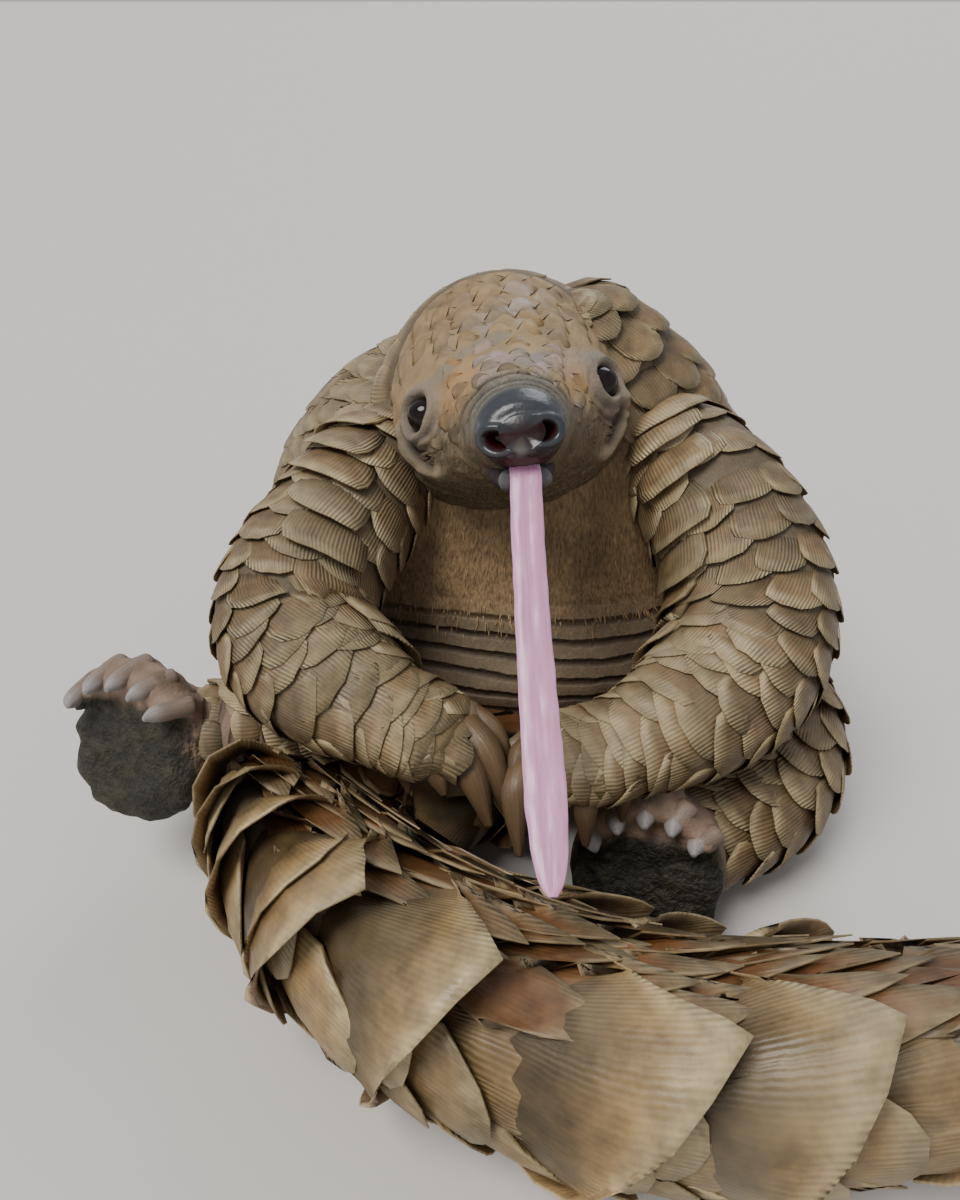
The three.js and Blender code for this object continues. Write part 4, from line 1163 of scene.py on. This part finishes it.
def lower_jaw(look):
    """The jaw under the tongue, with a bell of lip on each side of it."""
    jaw = FORMS["jaw"]
    points, faces, u, v = form_tube(jaw, *JAW_GRID)
    lips = sum(bump(gap_to(points[:-2], place, (1, 1, 1)), 2.8) for place in LOWER_LIPS)
    points[:-2] += jaw.slopes(u, v)[2] * (2.0 * lips)[:, None]
    lips = np.clip(np.concatenate([lips, [0, 0]]), 0, 1)
    tone = coated(
        spread(np.array(look.face) * 0.8, points), (srgb(52, 40, 44), smooth(-80, -88, points[:, 1])),
        (srgb(118, 118, 122), lips))
    kind = np.stack([1 - lips, lips, np.zeros(len(lips))], -1)
    return (points, faces), tone, kind


class PANGOLIN_OT_head(bpy.types.Operator):
    """The head: snout, nose pad, nostrils, mouth, lower lip, lids, brow creases and ear ridges"""

    bl_idname = "pangolin.head"
    bl_label = "Head"

    def execute(self, context):
        look = context.scene.pangolin_colours
        parts, tones, kinds = zip(skull(look), lower_jaw(look))
        points, polygons = join_parts(parts)
        made = mesh_object("head_skin", points, polygons, skin_finish(), np.concatenate(tones),
                           {"kind": np.concatenate(kinds)})
        declare(made, "skin", "head", "ear_right", "ear_left")
        return {"FINISHED"}


class PANGOLIN_OT_eyes(bpy.types.Operator):
    """Both eyes: a ball with a slightly raised cornea"""

    bl_idname = "pangolin.eyes"
    bl_label = "Eyes"

    def execute(self, context):
        material = eye_finish()
        head = FORMS["head"]
        radius = context.scene.pangolin_sizes.eye / MM
        rings, sides = EYE_GRID
        for name, (eye_u, eye_v) in zip(("eye_left", "eye_right"), EYES):
            _, _, out = head.slopes(eye_u, eye_v)
            centre = head.at(eye_u, eye_v) - out * EYE_SINK
            side = unit(np.cross(out, [0, 0, 1.0]))
            up = np.cross(side, out)
            t, w = np.meshgrid(
                np.linspace(0.03, np.pi - 0.03, rings), np.arange(sides) / sides * TURN, indexing="ij")
            t, w = t[..., None], w[..., None]
            round_way = np.cos(w) * side + np.sin(w) * up
            far = radius * (1 + CORNEA * bump(t, 0.5))
            points = centre + far * (np.cos(t) * out + np.sin(t) * round_way)
            ends = centre + np.array([[radius * (1 + CORNEA)], [-radius]]) * out
            faces = [face[:, ::-1] for face in tube_faces(rings, sides)]
            points, polygons = join_parts([(np.concatenate([points.reshape(-1, 3), ends]), faces)])
            made = mesh_object(name + "_ball", points, polygons, material)
            declare(made, "eye", name)
        return {"FINISHED"}


class PANGOLIN_OT_tongue(bpy.types.Operator):
    """The long tongue, a flat tube with a groove along its middle"""

    bl_idname = "pangolin.tongue"
    bl_label = "Tongue"

    def execute(self, context):
        look = context.scene.pangolin_colours
        tongue = FORMS["tongue"]
        points, faces, u, v = form_tube(tongue, *TONGUE_GRID)
        turn = v * TURN
        groove = -0.35 * bump(np.cos(turn), 0.3) * smooth(0, 0.2, np.sin(turn)) * smooth(1, 0.85, u)
        _, _, out = tongue.slopes(u, v)
        points[:-2] += out * (groove + 0.12 * ripple(points[:-2], 6, 31))[:, None]
        edge = np.concatenate([smooth(0.6, 1, np.abs(np.cos(turn))), [0, 0]])
        paler = np.array(look.tongue) * [1.05, 1.12, 1.1]
        tone = blend(spread(look.tongue, points), paler, edge * 0.6)
        layer = np.zeros(points.shape)
        layer[:-2, 0] = np.cos(turn)
        layer[:-2, 1] = u * 8
        points, polygons = join_parts([(points, faces)])
        made = mesh_object("tongue_flesh", points, polygons, tongue_finish(), tone, {"vane": layer})
        declare(made, "tongue", "tongue")
        return {"FINISHED"}


# Claws
def claw_tubes(claws, rings=26, sides=20, longer=0.22):
    """Curved claws: a tube along root, knee and tip that narrows toward the tip and whose back
    carries a low keel, a bell round the top of the turn. The tip is put further on by a share of
    the way from the knee."""
    parts, along, layers = [], [], []
    for k, (root, knee, tip, half) in enumerate(claws):
        root, knee, tip = (np.array(p, float) for p in (root, knee, tip))
        tip = tip + (tip - knee) * longer
        form = Form([
            [*root, half, half * 0.85, half * 0.85, 0], [*knee, half * 0.92, half * 0.8, half * 0.8, 0],
            [*tip, half * 0.22, half * 0.22, half * 0.22, 0]], Z)
        points, faces, u, v = form_tube(form, rings, sides)
        _, _, out = form.slopes(u, v)
        keel = 0.1 * half * bump(v - 0.25, 0.06) * smooth(0, 0.4, u)
        points[:-2] += out * (keel - 0.12 * half * smooth(0.1, 0.0, u))[:, None]
        u = np.concatenate([u, [0, 1]])
        turn = np.concatenate([v, [0, 0]]) * TURN
        layers.append(np.stack([np.cos(turn) + k * 3, u * 3, np.sin(turn)], -1))
        along.append(u)
        parts.append((points, faces))
    points, polygons = join_parts(parts)
    return points, polygons, np.concatenate(along), np.concatenate(layers)


def nail_rows(foot):
    """Root, knee and tip of each nail, on top of its toe."""
    rows = []
    _, ahead, _, _ = foot.axes(1.0)
    for degrees in NAIL_ANGLES:
        v = degrees / 360
        root = foot.off(0.7, v, 2.9)
        knee = foot.off(0.93, v, 4.1) + ahead * 2.5
        tip = foot.off(0.97, v, 1.0) + ahead * 9.5
        rows.append([root, knee, tip, NAIL_WIDE])
    return rows


def claw_piece(name, tubes, base, tip, reach, material, nodes):
    """One piece of claws or nails whose colour goes from base to tip over a reach of u."""
    points, polygons, u, layer = tubes
    tone = blend(spread(base, points), tip, smooth(*reach, u))
    made = mesh_object(name, points, polygons, material, tone, {"vane": layer})
    declare(made, "claw", *[f"{nodes}_{k}" for k in range(1, 6)])


class PANGOLIN_OT_claws(bpy.types.Operator):
    """Long claws of both hands and the short nails of both feet"""

    bl_idname = "pangolin.claws"
    bl_label = "Claws and nails"

    def execute(self, context):
        horn = np.array(context.scene.pangolin_colours.claws)
        material = claw_finish()
        for side in SIDES:
            claw_piece(f"hand_claws_{side}", claw_tubes(CLAWS[side]), horn, horn * 0.6, (0.4, 1),
                       material, f"claw_{side}")
            nails = claw_tubes(nail_rows(FORMS["foot_" + side]), 18, 16, 0.0)
            claw_piece(f"foot_nails_{side}", nails, srgb(128, 112, 100), srgb(158, 154, 156), (0.35, 0.8),
                       material, f"nail_{side}")
        return {"FINISHED"}


# Scales on the body
def scale_rows(name, bed, kind, sign, seed, **extra):
    """Scales of one kind on a bed of a form. The bed is written as in BEDS."""
    form = FORMS[name]
    return vanes(form, rows_of(form, *bed), SIZES[kind], sign, seed, **extra)


class PANGOLIN_OT_back_scales(bpy.types.Operator):
    """Large scales on the back, smaller ones over the neck and low ones on the crown"""

    bl_idname = "pangolin.back_scales"
    bl_label = "Back and neck scales"

    def execute(self, context):
        look = context.scene.pangolin_colours
        back, rim = np.array(look.back), np.array(look.rim)
        material = horn_finish(look)
        torso, neck, head = FORMS["torso"], FORMS["neck"], FORMS["head"]
        beside = np.concatenate([rows_of(neck, *bed) for bed in NECK_SIDES])
        shoulders = np.concatenate([rows_of(torso, *bed) for bed in SHOULDERS])
        groups = [
            (scale_rows("torso", BEDS["back"], "back", -1, 42), back, rim),
            (vanes(neck, beside, SIZES["nape"], 1, 44), back * 1.05, rim),
            (scale_rows("neck", BEDS["nape"], "nape", 1, 44), back * 1.05, rim),
            (scale_rows("neck", BEDS["poll"], "poll", 1, 53), back * 1.1, rim),
            (vanes(torso, shoulders, SIZES["nape"], -1, 48), back, rim),
        ]
        scale_piece("back_scales", groups, material)
        places = rows_of(head, *BEDS["crown"])
        spots = head.at(*places.T)
        clear = np.ones(len(places), bool)
        for eye in EYES:
            clear &= np.linalg.norm(spots - head.at(*eye), axis=1) > EYE_CLEAR
        places, spots = places[clear], spots[clear]
        size = 0.55 + 0.7 * smooth(0.5, 1.0, places[:, 0])
        made = vanes(head, places, SIZES["crown"], 1, 46, scale=size, grid=(5, 5))
        tint = head_tone(look, spots, *places.T)[0][:, None]
        scale_piece("crown_scales", [(made, tint * 0.92, tint * 1.03)], material, 0.4)
        return {"FINISHED"}


class PANGOLIN_OT_limb_scales(bpy.types.Operator):
    """Fan scales down both arms to the hands and on both legs"""

    bl_idname = "pangolin.limb_scales"
    bl_label = "Arm and leg scales"

    def execute(self, context):
        look = context.scene.pangolin_colours
        arm, rim = np.array(look.arm), np.array(look.rim)
        material = horn_finish(look)
        for side in SIDES:
            name = "arm_" + side
            low, high = ARM_TURNS[side]
            stack = np.stack(ARM_STACKS[side], -1)
            groups = [
                (scale_rows(name, (12, 13, 0.0, 0.46, low, high, 51), "arm", 1, 52), arm, rim),
                (scale_rows(name, (5, 16.5, 0.5, 0.68, low, high, 57), "fore", 1, 58), arm * 1.04, rim),
                (vanes(FORMS[name], stack, SIZES["stack"], 1, 55), arm * 1.04, rim),
                (scale_rows(name, (3, 12.5, 0.72, 0.82, low, high, 53), "hand", 1, 54), arm * 1.05, rim),
            ]
            scale_piece(f"arm_scales_{side}", groups, material)
        groups = []
        for side in SIDES:
            name = "leg_" + side
            low, high, last = LEG_TURNS[side]
            leg = scale_rows(name, (9, 14, 0.1, last, low, high, 55), "leg", 1, 56)
            ankle = scale_rows(name, (4, 9.5, last + 0.06, 0.86, 0.14, 0.42, 67), "ankle", 1, 68)
            groups += [(leg, arm, rim), (ankle, arm * 0.95, rim)]
        scale_piece("leg_scales", groups, material)
        return {"FINISHED"}


class PANGOLIN_OT_tail_scales(bpy.types.Operator):
    """Folded scales along both margins of the tail, broad ones behind and narrow ones under it"""

    bl_idname = "pangolin.tail_scales"
    bl_label = "Tail scales"

    def execute(self, context):
        look = context.scene.pangolin_colours
        above, under, rim = np.array(look.tail), np.array(look.tail_under), np.array(look.rim)
        material = horn_finish(look)
        tail = FORMS["tail"]
        broad = scale_rows("tail", BEDS["dorsal"], "dorsal", 1, 62)
        narrow = scale_rows("tail", BEDS["ventral"], "ventral", 1, 64, wave=1.5)
        scale_piece("tail_scales", [(broad, above, rim), (narrow, under, rim * 0.7)], material)
        groups = []
        end = 1 - 0.6 * smooth(0.78, 0.97, TAIL_TIPS)
        reach = np.clip(np.diff(np.append(TAIL_TIPS, 1.0)) * tail.long * 2.0, 25, 60) * end
        for v, key, seed in ((0.055, "outer", 65), (0.445, "inner", 66)):
            places = np.stack([TAIL_TIPS - reach / tail.long, np.full(len(TAIL_TIPS), v)], -1)
            long = reach / SIZES[key]["long"]
            wide = np.where(TAIL_TIPS < 0.5, 1.15, np.maximum(long, 1)) * end
            made = vanes(tail, places, SIZES[key], 1, seed, (10, 15), 5.0, scale=long, broad=wide)
            groups.append((made, above * 1.12, rim * 1.1))
        scale_piece("tail_margin_scales", groups, material)
        return {"FINISHED"}


# Short hair
# Half width of a hair and depth of its root in mm, and the side of its patch as a share of OFBake.
HAIR_HALF = 0.26
HAIR_SINK = 0.3
HAIR_PATCH = 0.003


def hair_beds(look):
    """Where hairs grow: form, how many, spans of u and v, length as a share, colour and the lie."""
    return [
        ("head", 2600, (0.42, 0.97), (0.52, 0.98), 0.55, look.face, 1),
        ("jaw", 500, (0.0, 0.6), (0.5, 1.0), 0.5, look.face, -1),
        ("torso", 3200, (0.54, 0.86), (0.58, 0.92), 0.9, look.chest, -1),
        ("arm_right", 700, (0.1, 0.7), (0.62, 0.78), 0.7, look.chest, 1),
        ("arm_left", 700, (0.1, 0.7), (0.72, 0.88), 0.7, look.chest, 1),
    ]


def hair_blades(form, u, v, length, way, random):
    """Blades of five points, two at the root, two at 0.55 of the length and the tip. Each lies along
    the form's slope, leans out of the skin a little and dips again at its tip."""
    count = len(u)
    du, dv, out = form.slopes(u, v)
    root = form.at(u, v) - out * HAIR_SINK
    aside = unit(dv) * random.normal(0, 0.25, (count, 1))
    along = unit(unit(du) * way + aside + out * random.uniform(0.15, 0.4, (count, 1)))
    size = length * random.uniform(0.6, 1.2, (count, 1))
    side = unit(np.cross(along, out)) * HAIR_HALF
    middle = root + along * size * 0.55
    tip = root + along * size - out * size * 0.12
    return np.stack([root - side, root + side, middle + side * 0.8, middle - side * 0.8, tip], 1)


class PANGOLIN_OT_tufts(bpy.types.Operator):
    """Short hairs over the throat, chest, cheeks and inner arms, as thin blades along the lie"""

    bl_idname = "pangolin.tufts"
    bl_label = "Short hair"

    def execute(self, context):
        long = context.scene.pangolin_sizes.hair / MM
        random = np.random.default_rng(71)
        beds = hair_beds(context.scene.pangolin_colours)
        patch = np.array([[0, 0], [1, 0], [1, 0.5], [0, 0.5], [0.5, 1]]) * HAIR_PATCH
        points, maps, tones = [], [], []
        for band, (name, count, us, vs, part, tint, way) in enumerate(beds):
            u, v = random.uniform(*us, count), random.uniform(*vs, count)
            blades = hair_blades(FORMS[name], u, v, long * part, way, random)
            points.append(blades.reshape(-1, 3))
            shade = np.array(tint) * random.uniform(0.55, 1.3, (count, 1))
            tones.append(np.repeat(shade, 5, axis=0))
            place = np.stack([(u * 0.94 + band) / len(beds), v * 0.97], -1)
            maps.append((place[:, None] + patch[None]).reshape(-1, 2))
        points = np.concatenate(points)
        start = np.arange(len(points) // 5) * 5
        quads = np.stack([start, start + 1, start + 2, start + 3], -1).tolist()
        ends = np.stack([start + 3, start + 2, start + 4], -1).tolist()
        made = mesh_object(
            "short_hair", points, quads + ends, skin_finish(), np.concatenate(tones),
            {"kind": np.zeros(points.shape)}, np.concatenate(maps))
        declare(made, "skin")
        return {"FINISHED"}


# Stage
FLOOR_REACH = 9e5
# Each light has its name, its place, its power and its colour.
LIGHTS = [
    ("key", (-0.45, -0.35, 1.0), 3.0, (1.0, 0.97, 0.92)),
    ("back", (0.3, 0.9, 0.8), 0.8, (0.95, 0.98, 1.0)),
]
LIGHT_ANGLE = 0.5
ROOM_COLOUR = (0.86, 0.88, 0.92, 1)
ROOM_LIGHT = 0.55
# The camera's place and clips are in metres, its tilt is in degrees, its lens and sensor in mm.
CAMERA_PLACE = (-0.016, -0.320, 0.246)
CAMERA_TILT = 57
CAMERA_LENS = 34.575
CAMERA_SENSOR = 36
NEAR_CLIP, FAR_CLIP = 0.01, 2000


def pale_floor():
    """A flat floor of four squares out to where it can't be told from the horizon."""
    finish = Finish("pale_floor", 0.8)
    patchy = finish.noise(3, 2) * 0.1
    finish.colour(finish.mix("MIX", patchy, (0.6, 0.58, 0.56, 1), (0.56, 0.54, 0.52, 1)))
    side = np.linspace(-FLOOR_REACH, FLOOR_REACH, 3)
    x, y = np.meshgrid(side, side, indexing="ij")
    points = np.stack([x.ravel(), y.ravel(), np.zeros(9)], -1)
    corners = np.array([0, 1, 3, 4])
    quads = np.stack([corners, corners + 3, corners + 4, corners + 1], -1).tolist()
    return mesh_object("studio_floor", points, quads, finish.material)


class PANGOLIN_OT_stage(bpy.types.Operator):
    """Plain pale floor, soft studio lights and the camera"""

    bl_idname = "pangolin.stage"
    bl_label = "Stage"

    def execute(self, context):
        scene = context.scene
        floor = pale_floor()
        for name, place, power, colour in LIGHTS:
            data = bpy.data.lights.new(name, "SUN")
            data.angle = LIGHT_ANGLE
            data.energy = power
            data.color = colour
            lamp = bpy.data.objects.new(name, data)
            lamp.location = place
            lamp.rotation_euler = Vector(place).to_track_quat("Z", "Y").to_euler()
            scene.collection.objects.link(lamp)
        world = bpy.data.worlds.new("soft_room")
        world.use_nodes = True
        room = world.node_tree.nodes["Background"]
        room.inputs["Color"].default_value = ROOM_COLOUR
        room.inputs["Strength"].default_value = ROOM_LIGHT
        scene.world = world
        data = bpy.data.cameras.new("photo_camera")
        data.sensor_fit = "HORIZONTAL"
        data.sensor_width = CAMERA_SENSOR
        data.lens = CAMERA_LENS
        data.clip_start = NEAR_CLIP
        data.clip_end = FAR_CLIP
        camera = bpy.data.objects.new("photo_camera", data)
        camera.location = CAMERA_PLACE
        camera.rotation_euler = (np.radians(CAMERA_TILT), 0, 0)
        scene.collection.objects.link(camera)
        scene.camera = camera
        return {"FINISHED"}


STEPS = (
    PANGOLIN_OT_stage, PANGOLIN_OT_skin, PANGOLIN_OT_head, PANGOLIN_OT_eyes, PANGOLIN_OT_tongue,
    PANGOLIN_OT_claws, PANGOLIN_OT_back_scales, PANGOLIN_OT_limb_scales, PANGOLIN_OT_tail_scales,
    PANGOLIN_OT_tufts,
)


class PANGOLIN_PT_panel(bpy.types.Panel):
    """The pangolin's steps in order"""

    bl_label = "Sitting pangolin"
    bl_space_type = "VIEW_3D"
    bl_region_type = "UI"
    bl_category = "Pangolin"

    def draw(self, context):
        for step in STEPS:
            self.layout.operator(step.bl_idname)


CLASSES = (PangolinColours, PangolinSizes, *STEPS, PANGOLIN_PT_panel)


def register():
    for entry in CLASSES:
        bpy.utils.register_class(entry)
    bpy.types.Scene.pangolin_colours = bpy.props.PointerProperty(type=PangolinColours)
    bpy.types.Scene.pangolin_sizes = bpy.props.PointerProperty(type=PangolinSizes)


def unregister():
    del bpy.types.Scene.pangolin_colours
    del bpy.types.Scene.pangolin_sizes
    for entry in reversed(CLASSES):
        bpy.utils.unregister_class(entry)


def main():
    register()
    bpy.ops.pangolin.stage()
    bpy.ops.pangolin.skin()
    bpy.ops.pangolin.head()
    bpy.ops.pangolin.eyes()
    bpy.ops.pangolin.tongue()
    bpy.ops.pangolin.claws()
    bpy.ops.pangolin.back_scales()
    bpy.ops.pangolin.limb_scales()
    bpy.ops.pangolin.tail_scales()
    bpy.ops.pangolin.tufts()


if __name__ == "__main__":
    main()
